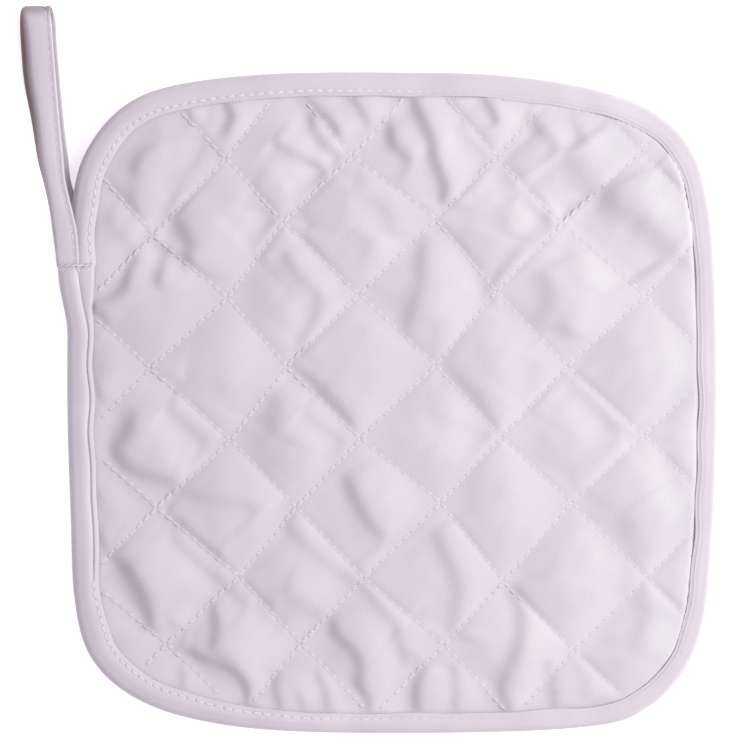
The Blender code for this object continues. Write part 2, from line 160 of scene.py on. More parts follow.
LOOP_PATH = (
    # y, height of the tape's middle, share of the flank's drop, all lengths in mm
    (39.8, 6.4, 1.0),
    (41.8, 7.4, 1.0),
    (46.0, 8.4, 1.0),
    (52.0, 8.9, 1.0),
    (62.0, 9.7, 1.0),
    (78.0, 10.5, 1.0),
    (94.0, 10.2, 1.0),
    (106.0, 8.9, 1.0),
    (114.5, 7.2, 1.0),
    (119.2, 5.3, 0.5),
    (120.3, 3.4, 0.0),
    (118.9, 1.7, 0.0),
    (115.0, 0.95, 0.0),
    (108.0, 0.9, 0.0),
    (86.0, 0.9, 0.0),
    (62.0, 0.9, 0.0),
    (41.8, 0.9, 0.0),
)

# %% [markdown]
# Folds.
# A washed cotton face never lies smooth between its seams: it is drawn together along the threads
# and buckles into soft folds. Each row is the slope between a fold's valley and its crest, given
# one by one. The crest is always on the side that the light comes from, so the slope is in the
# shade.

# %% Folds of the face
FOLDS = (
    # width of the slope in mm, how steep it is, and the places it runs through, in mm
    # along the top edge, from the left
    (2.2, 0.99, ((-63.0, 93.0), (-62.5, 87.5), (-60.0, 83.5))),
    (1.4, 0.55, ((-55.5, 94.0), (-55.5, 89.0), (-56.0, 85.0))),
    (2.6, 1.21, ((-53.5, 96.0), (-50.5, 90.0), (-49.5, 86.0), (-54.0, 79.0))),
    (1.6, 0.88, ((-60.0, 81.0), (-55.5, 78.7), (-50.0, 73.0))),
    (2.6, 0.55, ((-69.0, 80.0), (-77.0, 75.5), (-79.5, 67.0))),
    (3.2, 0.55, ((-57.0, 81.0), (-59.5, 74.0), (-64.0, 67.5), (-69.0, 60.5))),
    (2.6, 1.1, ((-29.0, 96.0), (-24.5, 90.0), (-19.5, 86.0), (-16.0, 79.5))),
    (3.0, 1.21, ((-25.5, 90.0), (-24.5, 84.0), (-21.0, 78.5), (-14.5, 74.5))),
    (2.6, 0.99, ((-37.5, 80.5), (-30.0, 75.0), (-19.0, 70.5))),
    (4.0, 0.66, ((-20.0, 72.5), (-24.0, 67.0), (-31.5, 61.5))),
    (2.4, 0.99, ((-15.0, 96.5), (-10.5, 90.0), (-6.5, 83.0))),
    (3.0, 1.1, ((-2.0, 89.0), (-0.5, 80.0), (2.0, 76.5), (7.0, 72.0))),
    (3.4, 1.32, ((3.0, 98.0), (7.5, 88.5), (11.0, 81.0), (12.5, 74.0), (15.5, 66.0), (15.0, 59.0))),
    (1.8, 0.66, ((15.0, 96.0), (19.5, 89.0), (23.5, 84.0))),
    (4.2, 0.55, ((18.5, 84.0), (25.0, 78.0), (30.5, 73.5))),
    (2.4, 1.1, ((25.0, 96.5), (30.0, 89.0), (32.0, 83.5))),
    (3.0, 0.88, ((40.0, 90.0), (44.5, 83.0), (51.5, 77.0))),
    (2.8, 0.66, ((52.5, 88.0), (56.5, 82.5), (58.0, 77.0))),
    (7.0, 0.66, ((51.5, 77.0), (56.5, 70.0), (62.5, 62.0))),
    (5.0, 0.66, ((32.0, 73.0), (37.0, 66.0), (35.0, 57.0), (33.5, 50.0))),
    (2.8, 0.88, ((39.0, 63.5), (44.5, 57.5), (49.5, 53.5))),
    (6.6, 0.88, ((63.0, 68.5), (67.0, 59.5), (75.0, 55.5), (82.0, 49.5), (86.0, 43.5))),
    (3.4, 0.44, ((81.0, 71.0), (87.0, 65.0), (91.5, 57.5))),
    (2.4, 0.55, ((84.5, 46.0), (88.0, 42.5), (94.0, 39.5))),
    # left of the middle
    (2.4, 0.7, ((-89.0, 68.0), (-82.0, 62.3), (-76.5, 56.0))),
    (3.0, 0.4, ((-80.0, 69.0), (-79.5, 64.0), (-81.0, 59.0))),
    (4.0, 0.45, ((-89.0, 55.5), (-83.5, 52.5), (-79.0, 48.5))),
    (4.2, 1.0, ((-70.5, 60.5), (-64.5, 53.0), (-62.5, 47.5), (-64.0, 39.0))),
    (2.4, 0.6, ((-70.5, 49.5), (-65.5, 44.5), (-61.0, 39.5))),
    (3.2, 1.0, ((-68.5, 50.0), (-70.5, 42.0), (-72.5, 33.5))),
    (3.0, 1.1, ((-77.0, 49.0), (-80.5, 41.0), (-82.5, 34.5), (-89.0, 30.8), (-95.0, 29.0))),
    (3.6, 0.9, ((-94.0, 30.5), (-90.0, 27.5), (-85.5, 22.5))),
    (3.4, 0.5, ((-45.0, 66.0), (-38.5, 60.5), (-34.0, 56.0))),
    (5.2, 0.55, ((-36.0, 58.5), (-39.0, 51.5), (-44.5, 45.0))),
    (3.6, 0.75, ((-34.0, 47.5), (-30.0, 39.5), (-23.0, 32.0), (-25.0, 24.0), (-30.5, 15.5))),
    (2.2, 0.6, ((-28.5, 52.0), (-21.5, 44.5), (-12.5, 34.5))),
    (5.0, 0.35, ((-8.0, 53.0), (-9.5, 44.0), (-12.5, 36.0))),
    (4.6, 0.5, ((-13.5, 64.0), (-6.0, 61.5), (-1.0, 56.0), (-1.5, 49.0))),
    (3.0, 0.5, ((-76.0, 12.0), (-69.5, 8.0), (-64.0, 6.0))),
    (3.2, 0.8, ((-32.5, 12.5), (-25.0, 6.5), (-17.0, -1.5), (-10.5, -9.5))),
    (3.4, 0.65, ((-28.0, -1.5), (-21.5, -7.5), (-13.5, -13.0))),
    (6.0, 0.35, ((-36.0, 5.0), (-36.5, -3.0), (-39.0, -10.0))),
    (4.0, 0.95, ((-78.5, 0.0), (-81.0, -9.0), (-84.5, -14.5), (-81.0, -20.0), (-71.5, -23.0),
                 (-64.5, -26.0))),
    (3.6, 0.7, ((-70.0, -0.5), (-62.5, -7.0), (-55.5, -14.5))),
    (4.2, 0.65, ((-69.5, -24.0), (-58.5, -29.0), (-46.0, -30.5), (-41.0, -35.5))),
    (2.4, 0.8, ((-69.5, -33.0), (-63.0, -38.5), (-50.0, -50.0))),
    (2.8, 0.7, ((-69.0, -39.0), (-60.0, -48.0), (-51.0, -56.0), (-43.5, -63.5))),
    (1.8, 0.7, ((-91.5, 9.0), (-90.2, 4.0), (-88.0, -1.5))),
    (1.6, 0.7, ((-91.0, 1.0), (-90.4, -3.0), (-90.6, -7.5))),
    (1.8, 0.6, ((-91.0, -23.5), (-89.8, -28.5), (-90.2, -33.5))),
    (2.4, 0.8, ((-90.5, -36.5), (-88.8, -42.5), (-86.5, -46.5))),
    # right of the middle
    (4.2, 0.55, ((9.0, 52.0), (8.0, 40.0), (7.0, 31.0), (1.5, 18.0))),
    (2.4, 0.55, ((12.5, 56.0), (19.5, 49.0), (29.5, 37.5))),
    (3.2, 0.74, ((49.5, 59.5), (41.5, 50.5), (34.5, 42.0), (26.5, 31.0))),
    (5.4, 0.39, ((44.0, 42.0), (46.5, 33.0), (44.0, 22.0))),
    (5.4, 0.31, ((52.0, 51.0), (55.0, 43.0), (53.0, 36.0))),
    (4.0, 0.31, ((49.0, 28.5), (52.0, 23.0), (53.0, 18.0))),
    (2.4, 0.39, ((33.5, 33.0), (39.5, 26.5), (46.5, 20.0))),
    (4.0, 0.27, ((11.0, 28.0), (13.0, 19.0), (11.0, 12.0))),
    (3.6, 0.51, ((14.0, 11.5), (22.0, 5.0), (27.0, -1.0), (32.5, -9.0))),
    (4.0, 0.39, ((8.0, -3.0), (16.0, -5.0), (27.0, -9.5), (25.0, -14.5), (18.5, -20.0))),
    (5.4, 0.31, ((43.0, 15.0), (42.0, 6.0), (38.0, -2.0))),
    (4.2, 0.43, ((52.5, 7.5), (59.0, 1.0), (65.0, -5.0), (71.0, -11.0))),
    (5.0, 0.39, ((70.0, -8.5), (62.0, -14.5), (57.0, -19.5), (53.0, -26.0))),
    (1.8, 0.35, ((77.0, -11.0), (85.0, -11.8), (94.0, -11.2))),
    (3.4, 0.31, ((82.5, -14.5), (86.0, -21.0), (88.0, -29.0))),
    (4.4, 0.66, ((11.5, -37.5), (15.5, -46.0), (19.0, -56.0), (19.0, -64.0), (17.0, -72.0))),
    (7.0, 0.27, ((69.0, -32.0), (73.0, -40.0), (72.0, -50.0), (68.0, -61.0))),
    (5.4, 0.31, ((75.5, -55.0), (76.0, -66.0), (74.5, -79.0))),
    # along the bottom edge, from the left
    (3.6, 1.06, ((-88.0, -46.0), (-82.0, -50.0), (-78.0, -56.5), (-75.0, -64.0), (-74.5, -71.5))),
    (2.4, 0.55, ((-71.0, -64.5), (-66.5, -67.8), (-62.0, -69.5))),
    (3.0, 0.92, ((-56.5, -58.5), (-54.5, -65.0), (-54.2, -70.0), (-56.5, -77.0))),
    (2.8, 1.2, ((-65.0, -74.5), (-58.0, -78.0), (-50.5, -80.5), (-46.0, -84.5), (-44.5, -90.0),
                (-45.5, -96.0))),
    (2.4, 0.64, ((-66.0, -78.5), (-64.5, -83.5), (-64.5, -89.5))),
    (3.0, 0.46, ((-68.5, -72.5), (-65.0, -75.5), (-61.5, -76.5))),
    (4.0, 0.46, ((-47.0, -54.0), (-42.0, -59.0), (-37.5, -65.0), (-33.0, -71.0))),
    (4.0, 0.41, ((-35.0, -58.5), (-27.0, -62.0), (-19.5, -67.5))),
    (3.6, 0.83, ((-15.5, -20.5), (-11.5, -29.5), (-7.5, -36.5), (-2.0, -43.0))),
    (3.6, 0.64, ((-34.5, -36.0), (-26.5, -43.5), (-18.0, -51.0), (-9.5, -56.5), (-2.5, -64.5),
                 (3.0, -69.5))),
    (2.6, 0.78, ((-35.5, -80.0), (-36.0, -87.0), (-33.5, -96.0))),
    (1.8, 0.55, ((-30.0, -86.5), (-28.3, -90.5), (-27.0, -96.0))),
    (2.4, 0.74, ((-24.5, -80.5), (-21.0, -87.0), (-20.0, -96.0))),
    (3.2, 0.92, ((-19.0, -62.5), (-17.5, -70.5), (-12.0, -76.0), (-10.0, -81.0), (-10.5, -86.0),
                 (-8.0, -91.0), (-8.5, -97.0))),
    (3.0, 0.55, ((0.5, -67.0), (2.5, -75.0), (4.0, -82.0))),
    (3.2, 1.01, ((10.5, -78.0), (7.5, -84.0), (6.8, -89.5), (7.5, -97.0))),
    (2.6, 0.64, ((18.0, -78.5), (19.0, -86.0), (18.5, -96.0))),
    (4.4, 0.83, ((36.0, -54.0), (38.5, -63.0), (38.0, -74.0), (34.0, -84.0), (33.0, -90.0),
                 (36.0, -96.0))),
    (3.2, 0.51, ((46.5, -77.0), (48.0, -85.0), (49.5, -96.0))),
    (5.0, 0.37, ((54.5, -77.0), (58.0, -84.5), (58.5, -92.0))),
)
FOLD_STEPS = 5                     # points read from the curve between two places of a fold
FOLD_TAPER = 4.5 * MM              # how far before its end a fold starts to flatten out
FOLD_SPREAD = 0.82                 # half the width of a slope, as a share of the table's width
FOLD_REACH = 3.2                   # half widths over which the cloth comes back to level
FOLD_HEIGHT = 0.78                 # rise of a fold as steep as 1, in half widths
FOLD_BEND = 1.3                    # how sharply the slope bends into the valley and the crest
FOLD_LIMIT = 2.2                   # reaches beyond which a fold is too low to count
LIGHT_SIDE = np.array([0.95, 0.3])    # towards the light, seen from above

# %% [markdown]
# Curves.
# Catmull-Rom rows give a smooth line through a table without any handles to tune, and distances to
# such a line say how far a point of the cloth is from a fold or from the tape's edge.

# %% Curve helpers
POINTS_AT_ONCE = 4000              # keeps the tables of distances small


def smoothstep(value):
    """Rises smoothly from 0 to 1 as the value goes from 0 to 1."""
    share = np.clip(value, 0.0, 1.0)
    return share * share * (3.0 - 2.0 * share)


def smooth_rows(rows, steps, closed):
    """Reads a smooth curve through the rows of a table, column by column."""
    rows = np.asarray(rows, dtype=float)
    count = len(rows)
    result = []
    for span in range(count if closed else count - 1):
        picks = [span - 1, span, span + 1, span + 2]
        picks = [p % count if closed else min(max(p, 0), count - 1) for p in picks]
        before, first, second, after = rows[picks]
        for step in range(steps):
            t = step / steps
            result.append(0.5 * (
                2.0 * first
                + (second - before) * t
                + (2.0 * before - 5.0 * first + 4.0 * second - after) * t * t
                + (3.0 * first - before - 3.0 * second + after) * t ** 3
            ))
    if not closed:
        result.append(rows[-1])
    return np.array(result)


def nearest_on_line(points, line):
    """For each point, the way to it from the nearest place on an open line, and that place."""
    step = np.diff(line, axis=0)
    square = (step * step).sum(1)
    gaps, places = [], []
    for some in np.array_split(points, max(1, len(points) // POINTS_AT_ONCE)):
        away = some[:, None, :] - line[None, :-1, :]
        share = np.clip((away * step).sum(2) / square, 0.0, 1.0)
        gap = away - share[:, :, None] * step
        nearest = (gap * gap).sum(2).argmin(axis=1)
        picked = np.arange(len(some))
        gaps.append(gap[picked, nearest])
        places.append(nearest + share[picked, nearest])
    return np.concatenate(gaps), np.concatenate(places)


def wander(count, waves, seed):
    """A smooth closed run of chance values of about 1, with that many waves at most."""
    chance = np.random.default_rng(seed)
    turn = np.linspace(0.0, 2.0 * math.pi, count, endpoint=False)
    total = np.zeros(count)
    for wave in range(1, waves + 1):
        total += chance.normal() * np.sin(wave * turn + chance.uniform(0.0, 2.0 * math.pi))
    return total / math.sqrt(waves / 2.0)


# %% [markdown]
# The edge.
# The outline is walked at even steps, because stitches and wrinkles on the tape are even too. Each
# station has a place, a direction straight into the pad, and the tape's width there.

# %% Stations round the edge
OUTLINE_STEPS = 24                 # points read from the curve between two rows of the outline
EDGE_STATIONS = 208                # about 3.4 mm apart


def edge_stations(count):
    """Places, inward directions and tape widths at even steps round the binding's outer edge."""
    curve = smooth_rows(OUTLINE, OUTLINE_STEPS, closed=True) * MM
    ring = np.vstack([curve, curve[:1]])
    along = np.concatenate([[0.0], np.cumsum(np.hypot(*np.diff(ring[:, :2], axis=0).T))])
    wanted = np.linspace(0.0, along[-1], count, endpoint=False)
    rows = np.column_stack([np.interp(wanted, along, ring[:, c]) for c in range(3)])
    places, widths = rows[:, :2], rows[:, 2]
    forward = np.roll(places, -1, axis=0) - np.roll(places, 1, axis=0)
    forward /= np.hypot(forward[:, 0], forward[:, 1])[:, None]
    return places, np.column_stack([forward[:, 1], -forward[:, 0]]), widths, along[-1]


def slackness(places):
    """How slack the tape is folded: 1 on the left side, 0 on the right, where it lies flat."""
    return smoothstep(0.5 - places[:, 0] / SLACK_SPAN)


def tape_shift(places):
    """How far the tape stands out from the pad's edge, just below the cross stitch."""
    height = places[:, 1] - TACK_Y
    below = smoothstep(1.0 + height / SHIFT_BELOW)
    above = smoothstep(1.0 - height / SHIFT_ABOVE)
    return TACK_SHIFT * np.where(height < 0.0, below, above) * (places[:, 0] < 0.0)


EDGE, EDGE_INWARD, EDGE_WIDTHS, EDGE_LENGTH = edge_stations(EDGE_STATIONS)
INNER_LINE = EDGE + EDGE_INWARD * EDGE_WIDTHS[:, None]
PAD_RING = EDGE + EDGE_INWARD * PAD_INSET

low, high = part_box("quilted_pad")
frame_middle = np.array([(low[k] + high[k]) / 2 for k in range(2)])
ring_middle = (PAD_RING.min(0) + PAD_RING.max(0)) / 2
PAD_CENTRE = frame_middle - ring_middle
print("edge length %.0f mm, pad centre at %s mm" % (EDGE_LENGTH / MM, PAD_CENTRE / MM))


def depth_inside(points, line):
    """How far each point lies inside a ring that runs beside the edge; negative outside it."""
    gap, place = nearest_on_line(points, np.vstack([line, line[:1]]))
    inward = EDGE_INWARD[np.round(place).astype(int) % len(line)]
    distance = np.hypot(gap[:, 0], gap[:, 1])
    return np.where((gap * inward).sum(1) < 0.0, -distance, distance)


# %% [markdown]
# The quilting lattice.
# Two families of seams cross, so the cloth gets two coordinates: i counts the seams of one family
# and j those of the other. A point with a whole i or j is on a seam, and one half way between
# whole numbers is on top of a puff.

# %% Lattice
def crossing_places():
    """The quilting's known crossings, by column and level."""
    known = {}
    for level, row in enumerate(CROSSINGS):
        for index, place in enumerate(row):
            known[2 * index + level % 2, level] = np.array(place) * MM
    return known


KNOWN_CROSSINGS = crossing_places()
FIRST_I, LAST_I = -2, 11
FIRST_J, LAST_J = -6, 7


def crossing(i, j):
    """The crossing of two seams; outside the table the diamonds go on evenly."""
    column, level = i - j, i + j
    if (column, level) in KNOWN_CROSSINGS:
        return KNOWN_CROSSINGS[column, level]
    near = min(KNOWN_CROSSINGS, key=lambda k: (k[0] - column) ** 2 + (k[1] - level) ** 2)
    step = np.array([column - near[0], near[1] - level]) * HALF_PITCH
    return KNOWN_CROSSINGS[near] + step


CROSSING_GRID = np.array([
    [crossing(i, j) for j in range(FIRST_J, LAST_J + 1)] for i in range(FIRST_I, LAST_I + 1)
])


def lattice_place(i, j):
    """Where on the pad the lattice's point (i, j) is, for arrays of i and j."""
    whole_i = np.clip(np.floor(i).astype(int), FIRST_I, LAST_I - 1)
    whole_j = np.clip(np.floor(j).astype(int), FIRST_J, LAST_J - 1)
    across, down = (i - whole_i)[:, None], (j - whole_j)[:, None]
    a, b = whole_i - FIRST_I, whole_j - FIRST_J
    return (
        CROSSING_GRID[a, b] * (1 - across) * (1 - down)
        + CROSSING_GRID[a + 1, b] * across * (1 - down)
        + CROSSING_GRID[a + 1, b + 1] * across * down
        + CROSSING_GRID[a, b + 1] * (1 - across) * down
    )


# %% [markdown]
# The cloth's height.
# The face is a height over each point of the lattice: thin at the seams, an arch over each
# diamond, pressed down by the folds, and pulled into a small dimple at every needle hole. The
# underside has the same seams, and its puffs are pressed flat where they carry the holder.

# %% Heights of the face and the underside
SIDE_LENGTH = 31.0 * MM           # side of a diamond
ARCH_POWER = 1.4                  # more than 1 keeps a puff low beside its seams
MARGIN_POWER = 0.6                # less than 1 lets the puffs rise soon inside the tape
CHANNEL_DEPTH = 0.05 * MM         # extra groove that the thread pulls along a seam
CHANNEL_HALF = 0.75 * MM          # half the width of that groove
HOLE_DEPTH = 0.07 * MM            # dimple at a needle hole
EDGE_SWELL = 0.4 * MM             # how far the cloth stands up just beside the tape's lip
TIGHT_SWELL = 0.45 * MM           # and how much further on the right, where the tape is tight
SWELL_LOSS = 0.7                  # share of it that is lost further in
UNDER_LIP = 0.17 * MM             # how far the cloth rises under the lip
UNDER_TIGHT_LIP = 0.23 * MM       # and how much further where the tape is tight
DEEPEST = 0.9 * MM                # how far a fold can press the face below its level at the tape
DEEPEST_ROUND = 0.25 * MM         # how softly it stops there
SEAM_HOLD = 1.6 * MM              # how near to its thread a seam holds the folds down
SEAM_GRIP = 0.45                  # and the share of their height that it takes away
RIPPLE_HEIGHT = 0.05 * MM         # small unevenness of washed cotton
RIPPLES = 9
RIPPLE_LENGTHS = (7.0, 16.0)      # shortest and longest, in mm
RIPPLE_SPREAD = 1.4               # how soon the ripples reach full height away from a seam
# Each pair is how far outside the lip something starts, and how far in from there it is in full.
LOOSE_FADE = (0.5 * MM, 3.5 * MM)
FOLD_FADE = (1.5 * MM, 2.0 * MM)
SWELL_FADE = (0.6 * MM, 1.2 * MM)


def puff(i, j):
    """The puffs' rise, from 0 on a seam to about 1 over the middle of a diamond."""
    whole_i, whole_j = np.floor(i), np.floor(j)
    shares = (i - whole_i, j - whole_j)
    arch = np.ones(len(i))
    for share in shares:
        arch *= np.clip(4.0 * share * (1.0 - share), 0.0, 1.0) ** ARCH_POWER
    column, level = whole_i - whole_j, whole_i + whole_j
    return arch * (1.0 + PUFF_VARIATION * np.sin(1.9 * column + 2.7 * level))


def seam_pull(i, j):
    """How far the thread pulls the cloth in along its seams, most at each needle hole."""
    total = np.zeros(len(i))
    for across, along in ((i, j), (j, i)):
        distance = np.abs(across - np.round(across)) * SIDE_LENGTH
        holes = (0.5 + 0.5 * np.cos(2.0 * math.pi * STITCHES_PER_SIDE * along)) ** 2
        pull = CHANNEL_DEPTH + HOLE_DEPTH * holes
        total = np.maximum(total, pull * np.exp(-(distance / CHANNEL_HALF) ** 2))
    return total


def fold_profile(side):
    """Height across a fold for a rise of 1: a valley, the slope, a crest, slowly back to level."""
    return 0.5 * np.tanh(FOLD_BEND * side) * np.exp(-(side / FOLD_REACH) ** 2)


def folds(points):
    """How far the folds lift the face, or press it down, at each point."""
    total = np.zeros(len(points))
    for width, steepness, places in FOLDS:
        line = smooth_rows(places, FOLD_STEPS, closed=False) * MM
        half = FOLD_SPREAD * width * MM
        reach = FOLD_LIMIT * FOLD_REACH * half
        near = ((points > line.min(0) - reach) & (points < line.max(0) + reach)).all(1)
        gap, place = nearest_on_line(points[near], line)
        ahead = np.gradient(line, axis=0)
        ahead = ahead[np.round(place).astype(int)]
        normal = np.column_stack([-ahead[:, 1], ahead[:, 0]])
        chord = line[-1] - line[0]
        lit = math.copysign(1.0, np.array([-chord[1], chord[0]]) @ LIGHT_SIDE)
        side = lit * np.sign((gap * normal).sum(1)) * np.hypot(gap[:, 0], gap[:, 1]) / half
        length = np.hypot(*chord)
        along = place * length / (len(line) - 1)
        taper = smoothstep(np.minimum(along, length - along) / FOLD_TAPER)
        total[near] += steepness * FOLD_HEIGHT * half * taper * fold_profile(side)
    return total


def free_of_seams(i, j):
    """How freely a fold can rise: 1 away from the seams, less where the thread holds the cloth."""
    held = np.zeros(len(i))
    for across in (i, j):
        distance = np.abs(across - np.round(across)) * SIDE_LENGTH
        held = np.maximum(held, np.exp(-(distance / SEAM_HOLD) ** 2))
    return 1.0 - SEAM_GRIP * held


def ripples(points):
    """Small, slow unevenness of the cloth."""
    chance = np.random.default_rng(11)
    total = np.zeros(len(points))
    for _ in range(RIPPLES):
        angle = chance.uniform(0.0, math.pi)
        length = chance.uniform(*RIPPLE_LENGTHS) * MM
        wave = 2.0 * math.pi / length * np.array([math.cos(angle), math.sin(angle)])
        bend = 1.2 * np.sin(points @ wave[::-1] * 0.37 + chance.uniform(0.0, 6.0))
        total += np.sin(points @ wave + bend + chance.uniform(0.0, 2.0 * math.pi))
    return RIPPLE_HEIGHT * total / math.sqrt(RIPPLES / 2.0)


def fade_in(inside, fade):
    """Rises from 0 to 1 across the tape's lip."""
    outside, length = fade
    return smoothstep((inside + outside) / length)


def face_height(i, j, points):
    """Height of the pad's face at lattice points, whose places are given too."""
    inside = depth_inside(points, INNER_LINE)
    margin = smoothstep(inside / MARGIN_WIDTH)
    seam = EDGE_HALF + (SEAM_HALF - EDGE_HALF) * margin
    rise = margin ** MARGIN_POWER * PUFF_HEIGHT * puff(i, j)
    tight = 1.0 - slackness(points)
    swell = EDGE_SWELL + TIGHT_SWELL * tight
    rise += swell * fade_in(inside, SWELL_FADE) * (1.0 - SWELL_LOSS * margin)
    loose = ripples(points) * np.minimum(1.0, RIPPLE_SPREAD * puff(i, j)) - seam_pull(i, j)
    creases = free_of_seams(i, j) * folds(points)
    height = seam + rise + fade_in(inside, LOOSE_FADE) * loose
    height += fade_in(inside, FOLD_FADE) * creases
    lowest = EDGE_HALF - DEEPEST * margin
    over = height - lowest
    height = lowest + DEEPEST_ROUND * np.logaddexp(0.0, over / DEEPEST_ROUND)
    under_lip = EDGE_HALF + UNDER_LIP + UNDER_TIGHT_LIP * tight
    return MIDDLE_HEIGHT + np.where(inside < 0.0, np.minimum(height, under_lip), height)


def underside_height(i, j, points):
    """Height of the pad's underside, whose puffs are pressed flat where they touch."""
    inside = depth_inside(points, INNER_LINE)
    margin = smoothstep(inside / MARGIN_WIDTH)
    seam = EDGE_HALF + (SEAM_HALF - EDGE_HALF) * margin
    swell = margin ** MARGIN_POWER * np.minimum(UNDERSIDE_FULLNESS * puff(i, j), 1.0)
    return (MIDDLE_HEIGHT - seam) * (1.0 - swell) + seam_pull(i, j) * (1.0 - swell) * margin


# %% [markdown]
# The pad.
# The mesh follows the lattice, so every seam is a clean line of edges. Squares whose corners lie
# outside the pad's edge are left out: that stepped edge is hidden inside the folded tape, where it
# is joined to the underside.

# %% Quilted pad
FACE_PER_SIDE = 40                # squares along one side of a diamond on the face, 0.8 mm each
UNDER_PER_SIDE = 20               # and on the underside, which is smoother
RING_SPARE = 0.1 * MM             # how far inside the pad's edge a square's corners lie at least


def make_object(name, vertices, faces):
    """A smooth-shaded mesh object at the origin, moved to the pad's place in the frame."""
    mesh = bpy.data.meshes.new(name)
    placed = np.asarray(vertices) + np.array([PAD_CENTRE[0], PAD_CENTRE[1], 0.0])
    mesh.from_pydata(placed.tolist(), [], faces)
    mesh.shade_smooth()
    mesh.update()
    piece = bpy.data.objects.new(name, mesh)
    bpy.context.scene.collection.objects.link(piece)
    return piece


def face_outwards(piece):
    """Turns the faces of a closed piece outwards."""
    shell = bmesh.new()
    shell.from_mesh(piece.data)
    bmesh.ops.recalc_face_normals(shell, faces=shell.faces)
    shell.to_mesh(piece.data)
    shell.free()
    return piece


def squares_inside():
    """Which of the underside's squares have all four corners inside the pad's edge."""
    i = np.arange(FIRST_I * UNDER_PER_SIDE, LAST_I * UNDER_PER_SIDE + 1) / UNDER_PER_SIDE
    j = np.arange(FIRST_J * UNDER_PER_SIDE, LAST_J * UNDER_PER_SIDE + 1) / UNDER_PER_SIDE
    grid_i, grid_j = np.meshgrid(i, j, indexing="ij")
    points = lattice_place(grid_i.ravel(), grid_j.ravel())
    near = (np.abs(points) < PAD_REACH).all(1)
    inside = np.zeros(len(points), bool)
    inside[near] = depth_inside(points[near], PAD_RING) > RING_SPARE
    kept = inside.reshape(grid_i.shape)
    return kept[:-1, :-1] & kept[1:, :-1] & kept[1:, 1:] & kept[:-1, 1:]


def lattice_sheet(kept, per_side):
    """The corners of the kept squares, by grid number and by lattice place, and the squares."""
    a, b = np.nonzero(kept)
    row = kept.shape[1] + 1
    near, far = a * row + b, (a + 1) * row + b
    corners = np.column_stack([near, far, far + 1, near + 1])
    used, squares = np.unique(corners, return_inverse=True)
    squares = squares.reshape(corners.shape)
    i = FIRST_I + (used // row) / per_side
    j = FIRST_J + (used % row) / per_side
    return used, i, j, squares


def border_edges(squares, count):
    """The edges that only one square has, in that square's direction."""
    edges = np.vstack([squares[:, [k, (k + 1) % 4]] for k in range(4)])
    key = edges.min(1) * count + edges.max(1)
    _, first, times = np.unique(key, return_index=True, return_counts=True)
    return edges[first[times == 1]]


def make_pad():
    """The face and the underside on one lattice, joined at the edge, with a UV map in metres."""
    kept = squares_inside()
    finer = FACE_PER_SIDE // UNDER_PER_SIDE
    fine = np.kron(kept, np.ones((finer, finer), bool))
    face_used, face_i, face_j, face_squares = lattice_sheet(fine, FACE_PER_SIDE)
    under_used, under_i, under_j, under_squares = lattice_sheet(kept, UNDER_PER_SIDE)
    face_points = lattice_place(face_i, face_j)
    under_points = lattice_place(under_i, under_j)
    face = np.column_stack([face_points, face_height(face_i, face_j, face_points)])
    under = np.column_stack([under_points, underside_height(under_i, under_j, under_points)])
    row, fine_row = kept.shape[1] + 1, fine.shape[1] + 1
    rim = border_edges(under_squares, len(under))
    across, along = under_used[rim] // row, under_used[rim] % row
    steps = [
        (across[:, 0] * (finer - step) + across[:, 1] * step) * fine_row
        + along[:, 0] * (finer - step) + along[:, 1] * step
        for step in range(finer + 1)
    ]
    above = np.column_stack([np.searchsorted(face_used, step) for step in steps])
    count = len(face)
    walls = np.column_stack([above, rim[:, 1] + count, rim[:, 0] + count])
    faces = face_squares.tolist() + (under_squares[:, ::-1] + count).tolist() + walls.tolist()
    piece = make_object("quilted_cotton_pad", np.vstack([face, under]), faces)
    flat = np.vstack([face_points, under_points])
    layer = piece.data.uv_layers.new(name="cloth")
    layer.data.foreach_set("uv", flat[np.concatenate([np.ravel(face) for face in faces])].ravel())
    return face_outwards(piece)


pad = make_pad()
print("pad:", len(pad.data.polygons), "faces")

# %% [markdown]
# The bound edge.
# The tape is a strip of cotton folded over the raw edge, so its section is a C: a wall of cloth
# whose middle line runs from the lip on the face, round the outer fold, to the lip underneath.
# A wall is easier to shape as a line with a thickness than as an outline, because a dent in the
# line dents both of its sides.

# %% Walls of tape
TAPE_HALF = TAPE_WALL / 2
STATIONS_PER_STITCH = 4
BINDING_STITCHES = 234            # 3.0 mm each
LINE_STEPS = 2                    # points of a section for each row of its middle line
END_ROUND = 0.7                   # how far a wall's end stands out, in half thicknesses


def wall_section(middle_line):
    """The closed section of a wall: its outer side, a rounded end, its inner side, the other end.

    Each row of the middle line has the wall's half thickness there as its third value.
    """
    rows = smooth_rows(middle_line, LINE_STEPS, closed=False)
    line, half = rows[:, :2], rows[:, 2:]
    ahead = np.gradient(line, axis=0)
    ahead /= np.hypot(ahead[:, 0], ahead[:, 1])[:, None]
    normal = np.column_stack([ahead[:, 1], -ahead[:, 0]])
    start = line[0] - ahead[0] * half[0] * END_ROUND
    end = line[-1] + ahead[-1] * half[-1] * END_ROUND
    outer, inner = line + normal * half, line - normal * half
    return np.vstack([start, outer, end, inner[::-1]])


def outer_point(row):
    """Where a section keeps the outer side of the given row of its middle line."""
    return 1 + row * LINE_STEPS


